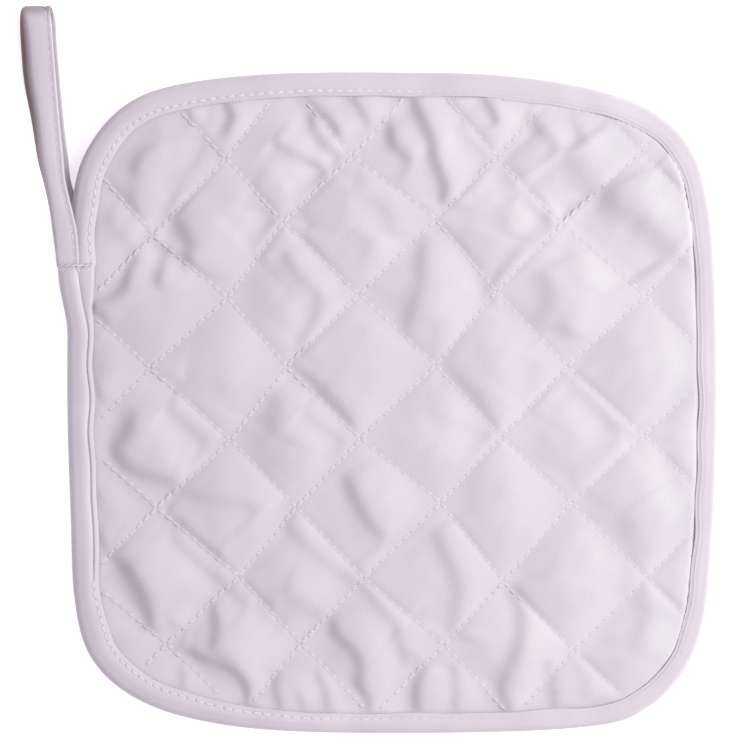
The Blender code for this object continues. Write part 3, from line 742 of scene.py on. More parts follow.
def skin(name, sections, closed):
    """A mesh through a run of sections, with a UV map in metres: along the tape, and round it."""
    sections = np.asarray(sections)
    runs, points = sections.shape[:2]
    spans = runs if closed else runs - 1
    loop = np.concatenate([sections, sections[:1]]) if closed else sections
    along = np.concatenate([[0.0], np.cumsum(np.linalg.norm(np.diff(loop[:, 1], axis=0), axis=1))])
    ring = np.vstack([sections[0], sections[0][:1]])
    across = np.concatenate([[0.0], np.cumsum(np.linalg.norm(np.diff(ring, axis=0), axis=1))])
    faces, places = [], []
    for span in range(spans):
        here, there = span * points, (span + 1) % runs * points
        for k in range(points):
            n = (k + 1) % points
            faces.append((here + k, there + k, there + n, here + n))
            places += [(along[span], across[k]), (along[span + 1], across[k]),
                       (along[span + 1], across[k + 1]), (along[span], across[k + 1])]
    if not closed:
        for first in (0, (runs - 1) * points):
            faces.append(tuple(range(first, first + points)))
            places += [(along[0], across[k]) for k in range(points)]
    piece = make_object(name, sections.reshape(-1, 3), faces)
    layer = piece.data.uv_layers.new(name="cloth")
    layer.data.foreach_set("uv", np.array(places).ravel())
    return face_outwards(piece)


# %% [markdown]
# The tape's line of stitches pulls a groove into both of its faces, a little inside each lip.
# Just below the cross stitch, the upper tape leaves the edge for the loop: its outer fold and its
# groove stand out to the left there, and the lip beside the pad is only the tape underneath.

# %% Binding
GROOVE_ROW, UNDER_GROOVE_ROW = 4, 18          # rows of the middle line at the two grooves
GROOVE_SIDE = 0.42 * MM           # half way down the side of a groove, from its middle
PAST_GROOVE = 1.0 * MM            # where the tape is level again beside a groove
HOLE_SHARE = 0.35                 # share of a groove's depth that only its needle holes have
TACK_RISE = 0.7 * MM              # how far the upper tape rises just below the cross stitch
RISE_BELOW, RISE_LENGTH = 2.0 * MM, 5.0 * MM  # where it is highest, and how soon it comes down
STRIP_DROP = 0.45 * MM            # how much lower the lip of the tape underneath is there
SUNK_FROM, SUNK_TO = -56.0 * MM, 46.0 * MM    # stretch of the left side with a sunk seam
SUNK_FADE = 8.0 * MM              # length over which it sinks at both ends
SUNK_DENT = 0.6 * MM              # how much deeper it is pulled in
LIP_HALF = 0.3 * MM               # half the tape's thickness at its lip
LIP_DROP = 0.36 * MM              # how far the lip bends down to the pad
LIP_ROWS = (0.1 * MM, 0.55 * MM, 1.05 * MM)   # how far in from the lip its bend is drawn
BEND_SHARE, FOOT_SHARE = 0.62, 0.35           # how much of it the second and third row have
TIGHT_SHARE = 0.25                # share of the groove and the lip's bend that tight tape keeps
TIGHT_ROLL, SLACK_ROLL = 0.9 * MM, 1.3 * MM   # depth of the outer fold, and how much more if slack
SLACK_SAG = 0.12 * MM             # how far slack tape is rounded between its groove and its fold
TURN = (0.5, 1.05, math.pi / 2, 2.09, 2.64)   # angles of the rows round the outer fold
WIDTH_WANDER, WIDTH_WAVES = 0.18 * MM, 40     # unevenness of the tape's width round the edge
HEIGHT_WANDER, HEIGHT_WAVES = 0.07 * MM, 55   # and of its height


def sunk_seam(places):
    """Where the seam is pulled in so far that its thread is out of sight: 1 there, 0 elsewhere."""
    start, end = (smoothstep(way) for way in (
        (places[:, 1] - SUNK_FROM) / SUNK_FADE, (SUNK_TO - places[:, 1]) / SUNK_FADE))
    return start * end * (places[:, 0] < 0.0)


def binding_line(width, shift, hole, lift, sunk, slack):
    """Middle line of the folded tape: how far in, and how far above the middle of the pad."""
    top = BINDING_HALF - TAPE_HALF + lift
    low = -(BINDING_HALF - TAPE_HALF)
    give = TIGHT_SHARE + (1.0 - TIGHT_SHARE) * slack
    strip = STRIP_DROP * shift / TACK_SHIFT
    dent = STITCH_DENT * (1.0 - HOLE_SHARE + HOLE_SHARE * hole) * give
    dent += 0.5 * strip + SUNK_DENT * sunk
    lip = LIP_DROP * give
    sag = SLACK_SAG * slack
    roll = TIGHT_ROLL + SLACK_ROLL * slack
    under_groove = width - STITCH_INSET
    groove = under_groove - shift
    fold = roll + TAPE_HALF - shift
    crown = (groove - PAST_GROOVE + fold) / 2
    edge, bend, foot = (width - row for row in LIP_ROWS)
    thick, thin = TAPE_HALF, LIP_HALF
    between = (thick + thin) / 2
    face = [
        (edge, top - lip - strip, thin),
        (bend, top - BEND_SHARE * lip - strip, thin),
        (foot, top - FOOT_SHARE * lip - strip, between),
        (groove + GROOVE_SIDE, top - 0.5 * dent - 0.5 * strip, thick),
        (groove, top - dent, thick),
        (groove - GROOVE_SIDE, top - 0.5 * dent, thick),
        (groove - PAST_GROOVE, top + 0.02 * MM, thick),
        (crown, top + sag, thick),
        (fold, top - sag, thick),
    ]
    turn = []
    for angle in TURN:
        height = top - sag if angle <= math.pi / 2 else -low
        turn.append((fold - roll * math.sin(angle), height * math.cos(angle), thick))
    back = [
        (fold, low, thick),
        ((fold + under_groove) / 2, low - 0.05 * MM, thick),
        (under_groove - PAST_GROOVE, low + 0.04 * MM, thick),
        (under_groove - GROOVE_SIDE, low + 0.4 * dent, thick),
        (under_groove, low + 0.8 * dent, thick),
        (under_groove + GROOVE_SIDE, low + 0.4 * dent, thick),
        (foot, low + FOOT_SHARE * LIP_DROP, between),
        (bend, low + BEND_SHARE * LIP_DROP, thin),
        (edge, low + LIP_DROP, thin),
    ]
    return face + turn + back


def make_binding():
    """The tape round the edge, and its sections, which its stitches follow."""
    count = BINDING_STITCHES * STATIONS_PER_STITCH
    places, inward, widths, _ = edge_stations(count)
    shifts = tape_shift(places)
    sunk, slack = sunk_seam(places), slackness(places)
    wider = WIDTH_WANDER * wander(count, WIDTH_WAVES, 3)
    widths = widths + wider * (1.0 - shifts / TACK_SHIFT)
    wave = HEIGHT_WANDER * wander(count, HEIGHT_WAVES, 5)
    near_tack = np.exp(-((places[:, 1] - TACK_Y + RISE_BELOW) / RISE_LENGTH) ** 2)
    lift = wave + TACK_RISE * near_tack * (shifts > 0.0)
    sections = []
    for station in range(count):
        hole = 0.5 + 0.5 * math.cos(2.0 * math.pi * station / STATIONS_PER_STITCH)
        line = binding_line(
            widths[station], shifts[station], hole, lift[station], sunk[station], slack[station])
        section = wall_section(line)
        ground = places[station] + section[:, :1] * inward[station]
        sections.append(np.column_stack([ground, MIDDLE_HEIGHT + section[:, 1]]))
    sections = np.array(sections)
    return skin("binding_tape", sections, closed=True), sections


binding, binding_sections = make_binding()
print("binding:", len(binding.data.polygons), "faces")

# %% [markdown]
# The hanging loop.
# The same tape, closed on itself and stitched along its open edges, runs out past the corner,
# turns over at the top and comes back underneath. Closed tape has a springy round fold on one
# side, here the left, and two flat edges on the other, so the section is a narrow U.

# %% Loop
LAYER_HALF = 0.34 * MM            # half of one layer of the tape
LAYER_RISE = 0.54 * MM            # each layer's middle, from the middle of both
LOOP_GROOVE = 1.4 * MM            # from the open edges to their line of stitches
LOOP_GROOVE_ROW, LOOP_BACK_GROOVE_ROW = 2, 11
LOOP_STITCH = 3.1 * MM
LOOP_STATION = LOOP_STITCH / STATIONS_PER_STITCH
PATH_STEPS, SIDE_STEPS = 12, 8    # points read between two rows of the loop's two tables
FLANK_DROP = 2.2                  # the springy fold hangs this much deeper than on the plain solid
# How many stations before its top the tape starts to move over to its back leg, and for how many.
TURN_LEAD, TURN_STATIONS = 4, 12
# The fold's flank and the turned-over top face away from the lamp; their shade is painted into the
# tape's colour.
TOP_PAINTED_SHADE = 0.5                    # how much painted shade the turned-over top gets
# Each pair is where the painted shade starts and the length over which it grows: up the pad at the
# loop's top, up the pad from its foot, and across the tape from its knee towards its fold.
TOP_SHADE_RAMP = (116.5 * MM, 3.5 * MM)
FOOT_SHADE_RAMP = (42.0 * MM, 10.0 * MM)
KNEE_SHADE_RAMP = (-0.5 * MM, 3.2 * MM)


def loop_line(left, right, run, drop, hole, open_up):
    """Middle line of the closed tape's section: across the tape, and out from its middle."""
    knee = left + run
    rise = LAYER_RISE
    pinch = (0.18 + 0.08 * hole) * MM
    line = [
        # the front layer, from its open edge over the groove to the knee
        (right - 0.1 * MM, rise + 0.10 * MM * open_up),
        (right - 0.75 * MM, rise + 0.02 * MM),
        (right - LOOP_GROOVE, rise - 0.6 * pinch),
        (right - LOOP_GROOVE - 0.7 * MM, rise - 0.04 * MM),
        ((right + knee) / 2, rise + 0.06 * MM),
        (knee + 0.4 * MM, rise + 0.02 * MM),
        # the springy fold, down its flank and round
        (left + 0.72 * run, rise - 0.22 * drop - 0.05 * MM),
        (left + LAYER_HALF, -0.72 * drop),
        (left + 0.75 * MM, -0.4 * rise - drop),
        (left + 1.6 * MM, -rise - 0.85 * drop),
        # the back layer, to its own open edge
        ((right + knee) / 2, -rise - 0.06 * drop),
        (right - LOOP_GROOVE, -rise + 0.5 * pinch),
        (right - 0.75 * MM, -rise),
        (right - 0.1 * MM, -rise - 0.12 * MM * open_up),
    ]
    return [(across, out, LAYER_HALF) for across, out in line]


def loop_stations():
    """Even stations along the loop's path: place ahead, height and share of the fold's drop."""
    path = smooth_rows(LOOP_PATH, PATH_STEPS, closed=False)
    path[:, :2] *= MM
    path[:, 1] = np.maximum(path[:, 1], LOOP_HALF)
    along = np.concatenate([[0.0], np.cumsum(np.hypot(*np.diff(path[:, :2], axis=0).T))])
    wanted = np.arange(0.0, along[-1], LOOP_STATION)
    return np.column_stack([np.interp(wanted, along, path[:, c]) for c in range(3)]), wanted


def painted_shade(way, start_and_length):
    """How much painted shade the tape gets at a way along or across it, from 0 to 1."""
    start, length = start_and_length
    return smoothstep((way - start) / length)


def make_loop():
    """The closed tape of the hanging loop, and its sections."""
    path, along = loop_stations()
    sides = smooth_rows(LOOP_SIDES, SIDE_STEPS, closed=False) * MM
    forward = np.gradient(path[:, :2], axis=0)
    forward /= np.hypot(forward[:, 0], forward[:, 1])[:, None]
    turn = int(np.argmax(path[:, 0]))
    sections, shade_amount = [], []
    for station, ((y, z, flank), (ahead, up)) in enumerate(zip(path, forward)):
        left, right, run, drop, back = (
            np.interp(y, sides[:, 0], sides[:, c]) for c in range(1, 6))
        share = float(smoothstep((station - turn + TURN_LEAD) / TURN_STATIONS))
        back *= share
        hole = 0.5 + 0.5 * math.cos(2.0 * math.pi * along[station] / LOOP_STITCH)
        drop = FLANK_DROP * drop * float(np.clip(flank, 0.0, 1.0))
        line = loop_line(left + back, right + back, run, drop, hole, 1.0 - share)
        section = wall_section(line)
        sections.append([(x, y - up * out, z + ahead * out) for x, out in section])
        # The fold's flank past the knee and the turned-over top get painted shade, faded in above
        # the foot.
        past_knee = left + back + run - section[:, 0]
        darkest = np.maximum(painted_shade(past_knee, KNEE_SHADE_RAMP), TOP_PAINTED_SHADE * painted_shade(y, TOP_SHADE_RAMP))
        shade_amount.append(painted_shade(y, FOOT_SHADE_RAMP) * darkest)
    sections = np.array(sections)
    piece = skin("loop_tape", sections, closed=False)
    # The amount of painted shade is kept as a point attribute of the tape.
    layer = piece.data.attributes.new("shade_amount", "FLOAT", "POINT")
    layer.data.foreach_set("value", np.concatenate(shade_amount))
    return piece, sections


loop, loop_sections = make_loop()
print("loop:", len(loop.data.polygons), "faces")

# %% [markdown]
# Stitches.
# One stitch is a short length of thread that comes up through a needle hole, lies on the cloth and
# goes down through the next. It is modelled once, from a sphere drawn out to the thread's
# thickness with its ends bent down. Copies of it along the seams make one mesh for each side of
# the pad, the tape and the loop, and one for the cross stitch.

# %% One stitch
BLUNT_ENDS = 0.8                  # less than 1 makes the ends of the thread blunter
END_DROP, END_BEND = 1.1, 2.5     # how far the ends go down, and how late they start to


def deselect_all():
    """Leaves nothing selected, so an operator acts only on what comes next."""
    for piece in bpy.context.selected_objects:
        piece.select_set(False)


def model_stitch():
    """One drawn-out bead of thread, one unit long in each direction."""
    deselect_all()
    bpy.ops.mesh.primitive_uv_sphere_add(
        segments=8, ring_count=6, radius=0.5, rotation=(0, math.pi / 2, 0))
    bpy.ops.object.transform_apply(location=False, rotation=True, scale=True)
    bead = bpy.context.object
    bpy.ops.object.mode_set(mode="EDIT")
    bpy.ops.mesh.select_all(action="SELECT")
    bpy.ops.mesh.normals_make_consistent(inside=False)
    bpy.ops.object.mode_set(mode="OBJECT")
    corners = np.array([tuple(v.co) for v in bead.data.vertices])
    corners[:, 0] = np.sign(corners[:, 0]) * 0.5 * np.abs(2.0 * corners[:, 0]) ** BLUNT_ENDS
    corners[:, 2] -= END_DROP * np.abs(corners[:, 0]) ** END_BEND
    faces = [tuple(face.vertices) for face in bead.data.polygons]
    uv = np.array([tuple(corner.uv) for corner in bead.data.uv_layers.active.data])
    bpy.data.objects.remove(bead, do_unlink=True)
    return corners, faces, uv


STITCH_CORNERS, STITCH_FACES, STITCH_UV = model_stitch()
print("one stitch:", len(STITCH_FACES), "faces")


# %% Sewing
SLANT_SPREAD = 0.05               # how unevenly the stitches are slanted, in radians
LENGTH_SHARES = (0.86, 0.98)      # shortest and longest thread, in distances between its holes
WIDTH_SHARES = (0.9, 1.1)         # thinnest and thickest, in widths of its look


def unit(vectors):
    """Vectors of the same directions, each one long."""
    return vectors / np.linalg.norm(vectors, axis=1)[:, None]


def sew(name, holes, middles, ends, ups, look, seed):
    """Copies the stitch between pairs of needle holes, over the cloth between, into one mesh."""
    slant, width, height, sink = look
    chance = np.random.default_rng(seed)
    count = len(holes)
    ahead = unit(ends - holes)
    side = unit(np.cross(ups, ahead))
    up = np.cross(ahead, side)
    turn = slant + chance.normal(0.0, SLANT_SPREAD, count)
    along = ahead * np.cos(turn)[:, None] + side * np.sin(turn)[:, None]
    across = np.cross(up, along)
    length = np.linalg.norm(ends - holes, axis=1) * chance.uniform(*LENGTH_SHARES, count)
    widths = width * chance.uniform(*WIDTH_SHARES, count)
    middle = middles + up * (height / 2 - sink)
    corners = (
        middle[:, None, :]
        + STITCH_CORNERS[None, :, :1] * (along * length[:, None])[:, None, :]
        + STITCH_CORNERS[None, :, 1:2] * (across * widths[:, None])[:, None, :]
        + STITCH_CORNERS[None, :, 2:] * (up * height)[:, None, :]
    )
    size = len(STITCH_CORNERS)
    faces = [
        tuple(corner + size * copy for corner in face)
        for copy in range(count) for face in STITCH_FACES
    ]
    piece = make_object(name, corners.reshape(-1, 3), faces)
    layer = piece.data.uv_layers.new(name="thread")
    layer.data.foreach_set("uv", np.tile(STITCH_UV, (count, 1)).ravel())
    print(name, count, "stitches")
    return piece


# %% [markdown]
# Quilting seams.
# A seam runs where one of the cloth's two coordinates is a whole number. Its needle holes are the
# dimples of the cloth, and a seam stops where it runs under the tape. The look of a stitch is its
# slant, its width, its height, and how far it sinks into the cloth.

# %% Quilting stitches
QUILTING_LOOK = (math.radians(14), 1.4 * MM, 0.19 * MM, 0.08 * MM)
QUILTING_SINK = 0.05 * MM         # how much deeper the stitches lie towards the right
SEAM_STOP = 1.3 * MM              # no stitch has its middle nearer to the tape's lip than this


def quilting_holes():
    """Lattice coordinates of the two needle holes of each stitch, seam by seam."""
    starts, ends = [], []
    step = 1.0 / STITCHES_PER_SIDE
    for i in range(FIRST_I, LAST_I + 1):
        for k in range(FIRST_J * STITCHES_PER_SIDE, LAST_J * STITCHES_PER_SIDE):
            starts.append((i, k * step))
            ends.append((i, (k + 1) * step))
    for j in range(FIRST_J, LAST_J + 1):
        for k in range(FIRST_I * STITCHES_PER_SIDE, LAST_I * STITCHES_PER_SIDE):
            starts.append((k * step, j))
            ends.append(((k + 1) * step, j))
    return np.array(starts, float), np.array(ends, float)


def on_cloth(places, height):
    """Points of the cloth at lattice places, at the height that a function gives."""
    points = lattice_place(places[:, 0], places[:, 1])
    return np.column_stack([points, height(places[:, 0], places[:, 1], points)])


def make_quilting():
    """The stitches of the quilting, on the face and on the underside."""
    starts, ends = quilting_holes()
    middles = lattice_place(*((starts + ends) / 2).T)
    near = (np.abs(middles) < PAD_REACH).all(1)
    starts, ends, middles = starts[near], ends[near], middles[near]
    kept = depth_inside(middles, INNER_LINE) > SEAM_STOP
    starts, ends = starts[kept], ends[kept]
    sinks = QUILTING_SINK * (1.0 - slackness(middles[kept]))
    pieces = []
    for name, height, up in (("face", face_height, 1.0), ("underside", underside_height, -1.0)):
        holes, others = on_cloth(starts, height), on_cloth(ends, height)
        between = on_cloth((starts + ends) / 2, height)
        ups = np.tile((0.0, 0.0, up), (len(holes), 1))
        down = sinks[:, None] * ups
        pieces.append(sew("quilting_stitches_" + name, holes - down, between - down, others - down,
                          ups, QUILTING_LOOK, 21))
    return pieces


quilting = make_quilting()

# %% [markdown]
# Seams of the tape.
# The tape's stitches lie in the groove of its sections, so they are read from the sections that
# the tape was made from.

# %% Tape stitches
TAPE_LOOK = (0.0, 0.85 * MM, 0.3 * MM, 0.06 * MM)
LOOP_LOOK = (0.0, 0.6 * MM, 0.22 * MM, 0.14 * MM)
TIGHT_SINK = 0.34 * MM            # how much deeper they lie where the tape is tight
HIDDEN_FROM = 0.3                 # how sunk the seam is where its thread goes out of sight
UP, DOWN = (0.0, 0.0, 1.0), (0.0, 0.0, -1.0)


def sew_binding(name, row, out, seed):
    """Stitches in the groove of the binding, left out on the face where they are out of sight."""
    line = binding_sections[:, outer_point(row)]
    starts = np.arange(0, len(line), STATIONS_PER_STITCH)
    middles = line[starts + STATIONS_PER_STITCH // 2]
    hidden = (np.array(out) @ UP > 0.0) & (sunk_seam(middles[:, :2]) > HIDDEN_FROM)
    starts, middles = starts[~hidden], middles[~hidden]
    ends = line[(starts + STATIONS_PER_STITCH) % len(line)]
    sunk = TIGHT_SINK * (1.0 - slackness(middles[:, :2]))[:, None] * np.array(out)
    ups = np.tile(out, (len(starts), 1))
    return sew(name, line[starts] - sunk, middles - sunk, ends - sunk, ups, TAPE_LOOK, seed)


def sew_loop(name, row, way, seed):
    """Edge stitches along the loop, on its outside or its inside."""
    line = loop_sections[:, outer_point(row)]
    middle = loop_sections.mean(1)[:, 1:]
    ahead = unit(np.gradient(middle, axis=0))
    out = way * np.column_stack([np.zeros(len(ahead)), -ahead[:, 1], ahead[:, 0]])
    starts = np.arange(0, len(line) - STATIONS_PER_STITCH, STATIONS_PER_STITCH)
    halfway = starts + STATIONS_PER_STITCH // 2
    ends = starts + STATIONS_PER_STITCH
    return sew(name, line[starts], line[halfway], line[ends], out[halfway], LOOP_LOOK, seed)


tape_stitches = [
    sew_binding("binding_stitches_face", GROOVE_ROW, UP, 31),
    sew_binding("binding_stitches_underside", UNDER_GROOVE_ROW, DOWN, 32),
    sew_loop("loop_stitches_outside", LOOP_GROOVE_ROW, 1.0, 33),
    sew_loop("loop_stitches_inside", LOOP_BACK_GROOVE_ROW, -1.0, 34),
]

# %% [markdown]
# The cross stitch.
# Where the loop starts, the machine went across the tape and back a little further up, to lock it
# to the edge. The stitches of both ways lie close together and a little uneven.

# %% Cross stitch
TACK_LOOK = (0.0, 0.5 * MM, 0.32 * MM, 0.0)
TACK_LINE = 41.8 * MM             # how far up the pad it is
TACK_HOLES = (
    # x, height, both in mm, of the needle holes across the tape
    (-102.5, 7.9),
    (-100.4, 8.75),
    (-98.6, 8.85),
    (-96.6, 8.8),
    (-94.6, 7.75),
    (-92.5, 7.25),
)
TACK_SPREAD = 0.16 * MM           # half the distance between its two ways
TACK_UNEVENNESS = 0.4 * TACK_SPREAD
TACK_RETURN = 0.7 * MM            # how far to the right the holes of the way back are
TACK_LIFT = 0.08 * MM             # how far the middle of a stitch stands over its holes


def make_tack():
    """The stitches across the foot of the loop, there and back."""
    chance = np.random.default_rng(41)
    marks = np.array(TACK_HOLES) * MM
    starts, middles, ends = [], [], []
    for way in (-1.0, 1.0):
        uneven = chance.normal(0.0, TACK_UNEVENNESS, len(marks))
        along = TACK_LINE + way * TACK_SPREAD + uneven
        across = marks[:, 0] + TACK_RETURN * (way + 1.0) / 2
        holes = np.column_stack([across, along, np.interp(across, marks[:, 0], marks[:, 1])])
        starts.append(holes[:-1])
        ends.append(holes[1:])
        middles.append((holes[:-1] + holes[1:]) / 2 + np.array((0.0, 0.0, TACK_LIFT)))
    starts, middles, ends = (np.vstack(rows) for rows in (starts, middles, ends))
    return sew("cross_stitch", starts, middles, ends, np.tile(UP, (len(starts), 1)), TACK_LOOK, 42)


cross_stitch = make_tack()

# %% [markdown]
# Materials.
# The cloth is cotton twill: each weft thread steps over the warp one thread later than its
# neighbour, which draws fine slanted ridges. Dyed, washed cotton is matt, with a faint sheen of
# loose fibres, and its colour is never quite even. The ridges are 0.65 mm apart on the pad and
# 0.55 mm on the tape, about the spacing at which they show in the photo.

# %% Material helpers
def srgb(code):
    """A linear colour from an sRGB hex value."""
    parts = [int(code[k:k + 2], 16) / 255 for k in (1, 3, 5)]
    return [p / 12.92 if p <= 0.04045 else ((p + 0.055) / 1.055) ** 2.4 for p in parts] + [1.0]


def add(tree, kind, settings=(), links=()):
    """Adds a node, sets its inputs or its own settings by name, and links its inputs."""
    made = tree.nodes.new(kind)
    for name, value in dict(settings).items():
        if isinstance(name, str) and hasattr(made, name):
            setattr(made, name, value)
        else:
            made.inputs[name].default_value = value
    for name, socket in dict(links).items():
        tree.links.new(socket, made.inputs[name])
    return made


def start_material(name, colour, roughness, sheen):
    """A material whose constant values are set on the shader itself."""
    material = bpy.data.materials.new(name)
    material.use_nodes = True
    shader = material.node_tree.nodes["Principled BSDF"]
    shader.inputs["Base Color"].default_value = srgb(colour)
    shader.inputs["Roughness"].default_value = roughness
    shader.inputs["Sheen Weight"].default_value = sheen
    shader.inputs["Sheen Roughness"].default_value = 0.5
    shader.inputs["Specular IOR Level"].default_value = 0.25
    return material, material.node_tree, shader


# %% Cotton twill
WAVE_PERIOD = 2.0 * math.pi / 20.0    # length of one band of a wave texture at scale 1
YARN_SPACING = 0.42 * MM
FUZZ_SIZE = 0.9 * MM                  # of the small unevenness that loose fibres make
SHADE_SIZE = 28 * MM                  # of the patches that took the dye a little differently
YARN_SHARE, FUZZ_SHARE = 0.35, 0.6    # how much the yarns and the fibres add to the ridges
WEAVE_GROOVE_SHADE = 0.22                     # how much painted shade darkens the weave's grooves in the colour
DARK_UP_TO, LIGHT_FROM = 0.35, 0.9    # levels of the tone at which each colour is reached


def cotton_twill(name, light, dark, ridge_spacing, angle, relief):
    """Matt dyed twill; the angle turns its ridges on the cloth's UV map."""
    material, tree, shader = start_material(name, light, 0.92, 0.25)
    place = add(tree, "ShaderNodeUVMap", {"uv_map": "cloth"}).outputs["UV"]
    turned = add(tree, "ShaderNodeMapping", {"Rotation": (0, 0, math.radians(angle))},
                 {"Vector": place}).outputs["Vector"]
    ridges = add(tree, "ShaderNodeTexWave", {
        "bands_direction": "Y", "Scale": WAVE_PERIOD / ridge_spacing,
        "Distortion": 0.8, "Detail": 1.0, "Detail Scale": 0.25}, {"Vector": turned})
    yarns = add(tree, "ShaderNodeTexWave", {
        "bands_direction": "X", "Scale": WAVE_PERIOD / YARN_SPACING,
        "Distortion": 1.5, "Detail": 1.0, "Detail Scale": 0.5}, {"Vector": turned})
    fuzz = add(tree, "ShaderNodeTexNoise", {"Scale": 1.0 / FUZZ_SIZE, "Detail": 3.0},
               {"Vector": place})
    shade = add(tree, "ShaderNodeTexNoise", {"Scale": 1.0 / SHADE_SIZE, "Detail": 4.0},
                {"Vector": place})
    weave = add(tree, "ShaderNodeMath", {"operation": "MULTIPLY_ADD", 1: YARN_SHARE},
                {0: yarns.outputs["Fac"], 2: ridges.outputs["Fac"]})
    height = add(tree, "ShaderNodeMath", {"operation": "MULTIPLY_ADD", 1: FUZZ_SHARE},
                 {0: fuzz.outputs["Fac"], 2: weave.outputs["Value"]})
    bump = add(tree, "ShaderNodeBump", {"Strength": 1.0, "Distance": relief},
               {"Height": height.outputs["Value"]})
    # The colour is the dye's uneven patches, plus painted shade that darkens the weave where its
    # ridges are low.
    tone = add(tree, "ShaderNodeMath", {"operation": "MULTIPLY_ADD", 1: WEAVE_GROOVE_SHADE},
               {0: weave.outputs["Value"], 2: shade.outputs["Fac"]})
    colour = add(tree, "ShaderNodeMapRange", {"From Min": DARK_UP_TO, "From Max": LIGHT_FROM},
                 {"Value": tone.outputs["Value"]})
    mix = add(tree, "ShaderNodeMix", {"data_type": "RGBA"})
    mix.inputs[6].default_value, mix.inputs[7].default_value = srgb(dark), srgb(light)
    tree.links.new(colour.outputs["Result"], mix.inputs[0])
    tree.links.new(mix.outputs[2], shader.inputs["Base Color"])
    tree.links.new(bump.outputs["Normal"], shader.inputs["Normal"])
    return material


def paint_fold_shade(material, painted_shade, share):
    """Darkens a cloth with painted shade, as much as the piece's own attribute of painted shade
    says.
    """
    tree = material.node_tree
    shader = tree.nodes["Principled BSDF"]
    clean = shader.inputs["Base Color"].links[0].from_socket
    shade_amount = add(tree, "ShaderNodeAttribute", {"attribute_name": "shade_amount"}).outputs["Fac"]
    amount = add(tree, "ShaderNodeMath", {"operation": "MULTIPLY", 1: share}, {0: shade_amount})
    mix = add(tree, "ShaderNodeMix", {"data_type": "RGBA"})
    # The colour of the painted shade.
    mix.inputs[7].default_value = srgb(painted_shade)
    tree.links.new(amount.outputs["Value"], mix.inputs[0])
    tree.links.new(clean, mix.inputs[6])
    tree.links.new(mix.outputs[2], shader.inputs["Base Color"])
    return material


# %% Cotton thread
PLY_SLANT = 0.9                       # in radians, how the two plies are twisted
PLY_RELIEF = 0.05 * MM


def cotton_thread(name, light, dark):
    """Soft two-ply thread, paler than the cloth because its twist catches the light."""
    material, tree, shader = start_material(name, light, 0.75, 0.3)
    place = add(tree, "ShaderNodeUVMap", {"uv_map": "thread"}).outputs["UV"]
    turned = add(tree, "ShaderNodeMapping", {"Rotation": (0, 0, PLY_SLANT)},
                 {"Vector": place}).outputs["Vector"]
    plies = add(tree, "ShaderNodeTexWave", {"Scale": 1.2, "Distortion": 0.5}, {"Vector": turned})
    bump = add(tree, "ShaderNodeBump", {"Strength": 0.4, "Distance": PLY_RELIEF},
               {"Height": plies.outputs["Fac"]})
    mix = add(tree, "ShaderNodeMix", {"data_type": "RGBA"})
    mix.inputs[6].default_value, mix.inputs[7].default_value = srgb(dark), srgb(light)
    tree.links.new(plies.outputs["Fac"], mix.inputs[0])
    tree.links.new(mix.outputs[2], shader.inputs["Base Color"])
    tree.links.new(bump.outputs["Normal"], shader.inputs["Normal"])
    return material


PAD_RIDGES = (0.65 * MM, 17, 0.026 * MM)      # spacing, angle and relief of the twill's ridges
TAPE_RIDGES = (0.55 * MM, -27, 0.02 * MM)
pad_cloth = cotton_twill("lilac_cotton_twill", "#BBB5BC", "#B0AAB2", *PAD_RIDGES)
tape_cloth = cotton_twill("lilac_twill_tape", "#BDB5BD", "#B2AAB3", *TAPE_RIDGES)
# The loop's tape gets painted shade, a dark brown, along its fold's flank and over its top.
loop_cloth = paint_fold_shade(
    cotton_twill("lilac_twill_tape_painted_shade", "#BDB5BD", "#B2AAB3", *TAPE_RIDGES), "#4A2C1C", 0.95)
quilting_thread = cotton_thread("pale_cotton_thread", "#BCB5BD", "#B2ABB3")
tape_thread = cotton_thread("lilac_cotton_thread", "#C7BDC8", "#BBB1BC")

pad.data.materials.append(pad_cloth)
binding.data.materials.append(tape_cloth)
loop.data.materials.append(loop_cloth)
for piece in quilting + [cross_stitch]:
    piece.data.materials.append(quilting_thread)
for piece in tape_stitches:
    piece.data.materials.append(tape_thread)

# %% [markdown]
# What stands for what.
# Each cloth piece replaces its plain solid, which is hidden. Every piece, the stitches too, rides
# on the one body.

# %% Pieces and the bodies they ride on
BODY = "root"
for piece in [pad, binding, loop, cross_stitch] + quilting + tape_stitches:
    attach(piece, BODY)
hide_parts("quilted_pad")
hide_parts("edge_binding")
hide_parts("hanging_loop")

# %% [markdown]
# Floor, light and camera.
# The photo looks straight down on the holder, lit softly from the right, on white. The floor is a
# pale sheet just under the cloth, lit a little from below like a light table, so it hardly shows a
# shadow. The shaded sides of the folds are more violet than the lit ones, so the room is tinted
# slightly violet and the lamp slightly yellow-green.

# %% Floor
FLOOR_DROP = 0.3 * MM                 # how far under the lowest cloth it lies
FLOOR_GLOW = 0.42
deselect_all()
bpy.ops.mesh.primitive_plane_add(size=4.0, location=(0.0, 0.0, -FLOOR_DROP))
floor = bpy.context.object
floor.name = "pale_floor"
paper, _, paper_shader = start_material("white_light_table", "#FBFBFB", 0.9, 0.0)
paper_shader.inputs["Emission Color"].default_value = srgb("#FFFFFF")
paper_shader.inputs["Emission Strength"].default_value = FLOOR_GLOW
floor.data.materials.append(paper)

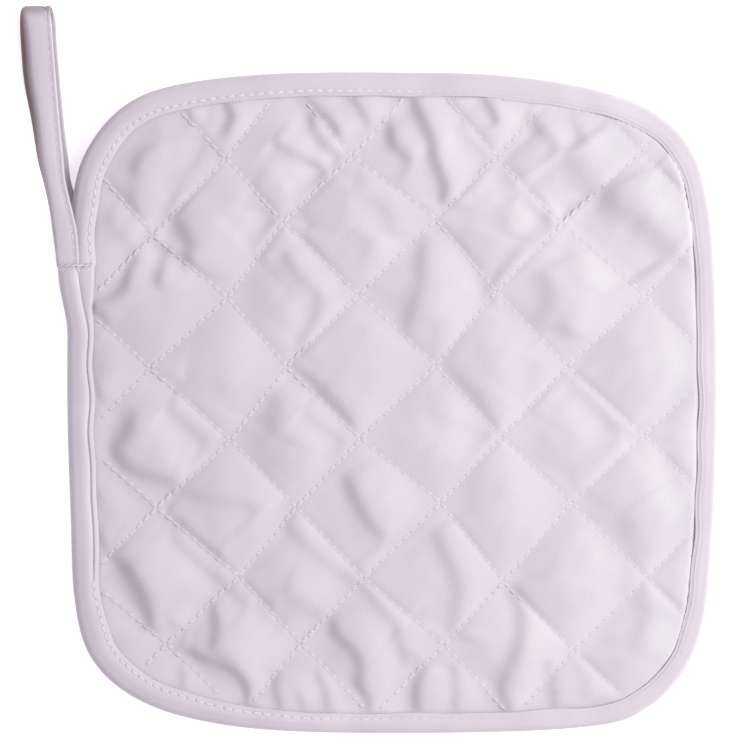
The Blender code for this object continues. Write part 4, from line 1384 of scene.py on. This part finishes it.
# %% Light
LAMP_PLACE = (0.62, 0.08, 0.52)
LAMP_SIZE, LAMP_POWER = 0.6, 9.2      # in metres, and in watts
LAMP_COLOUR = (0.93, 1.0, 0.89)
ROOM_COLOUR = (0.965, 0.888, 1.0, 1.0)
ROOM_STRENGTH = 0.82


def soft_light(name, place, size, power, colour):
    """A square area light that faces the middle of the pad."""
    light = bpy.data.lights.new(name, "AREA")
    light.size = size
    light.energy = power
    light.color = colour
    lamp = bpy.data.objects.new(name, light)
    lamp.location = place
    lamp.rotation_euler = (-Vector(place)).to_track_quat("-Z", "Y").to_euler()
    bpy.context.scene.collection.objects.link(lamp)
    return lamp


soft_light("window_side", LAMP_PLACE, LAMP_SIZE, LAMP_POWER, LAMP_COLOUR)
world = bpy.data.worlds.new("white_room")
world.use_nodes = True
background = world.node_tree.nodes["Background"]
background.inputs["Color"].default_value = ROOM_COLOUR
background.inputs["Strength"].default_value = ROOM_STRENGTH
bpy.context.scene.world = world
bpy.context.scene.view_settings.view_transform = "Standard"

# %% Camera
PHOTO_WIDTH, PHOTO_HEIGHT = 756, 747
PHOTO_SCALE = 0.305 * MM              # one pixel of the photo on the pad
PAD_MIDDLE_PIXEL = (393.0, 402.5)
CAMERA_HEIGHT = 1.2
SHARP_HEIGHT = 5.5 * MM               # height at which the photo's scale holds
camera_data = bpy.data.cameras.new("overhead_camera")
camera = bpy.data.objects.new("overhead_camera", camera_data)
bpy.context.scene.collection.objects.link(camera)
camera.location = (
    PAD_CENTRE[0] + (PHOTO_WIDTH / 2 - PAD_MIDDLE_PIXEL[0]) * PHOTO_SCALE,
    PAD_CENTRE[1] + (PAD_MIDDLE_PIXEL[1] - PHOTO_HEIGHT / 2) * PHOTO_SCALE,
    CAMERA_HEIGHT,
)
view_width = PHOTO_WIDTH * PHOTO_SCALE
camera_data.lens = camera_data.sensor_width * (CAMERA_HEIGHT - SHARP_HEIGHT) / view_width
bpy.context.scene.camera = camera
print("lens %.0f mm" % camera_data.lens)

# %% Bring the scene up to date
bpy.context.view_layer.update()
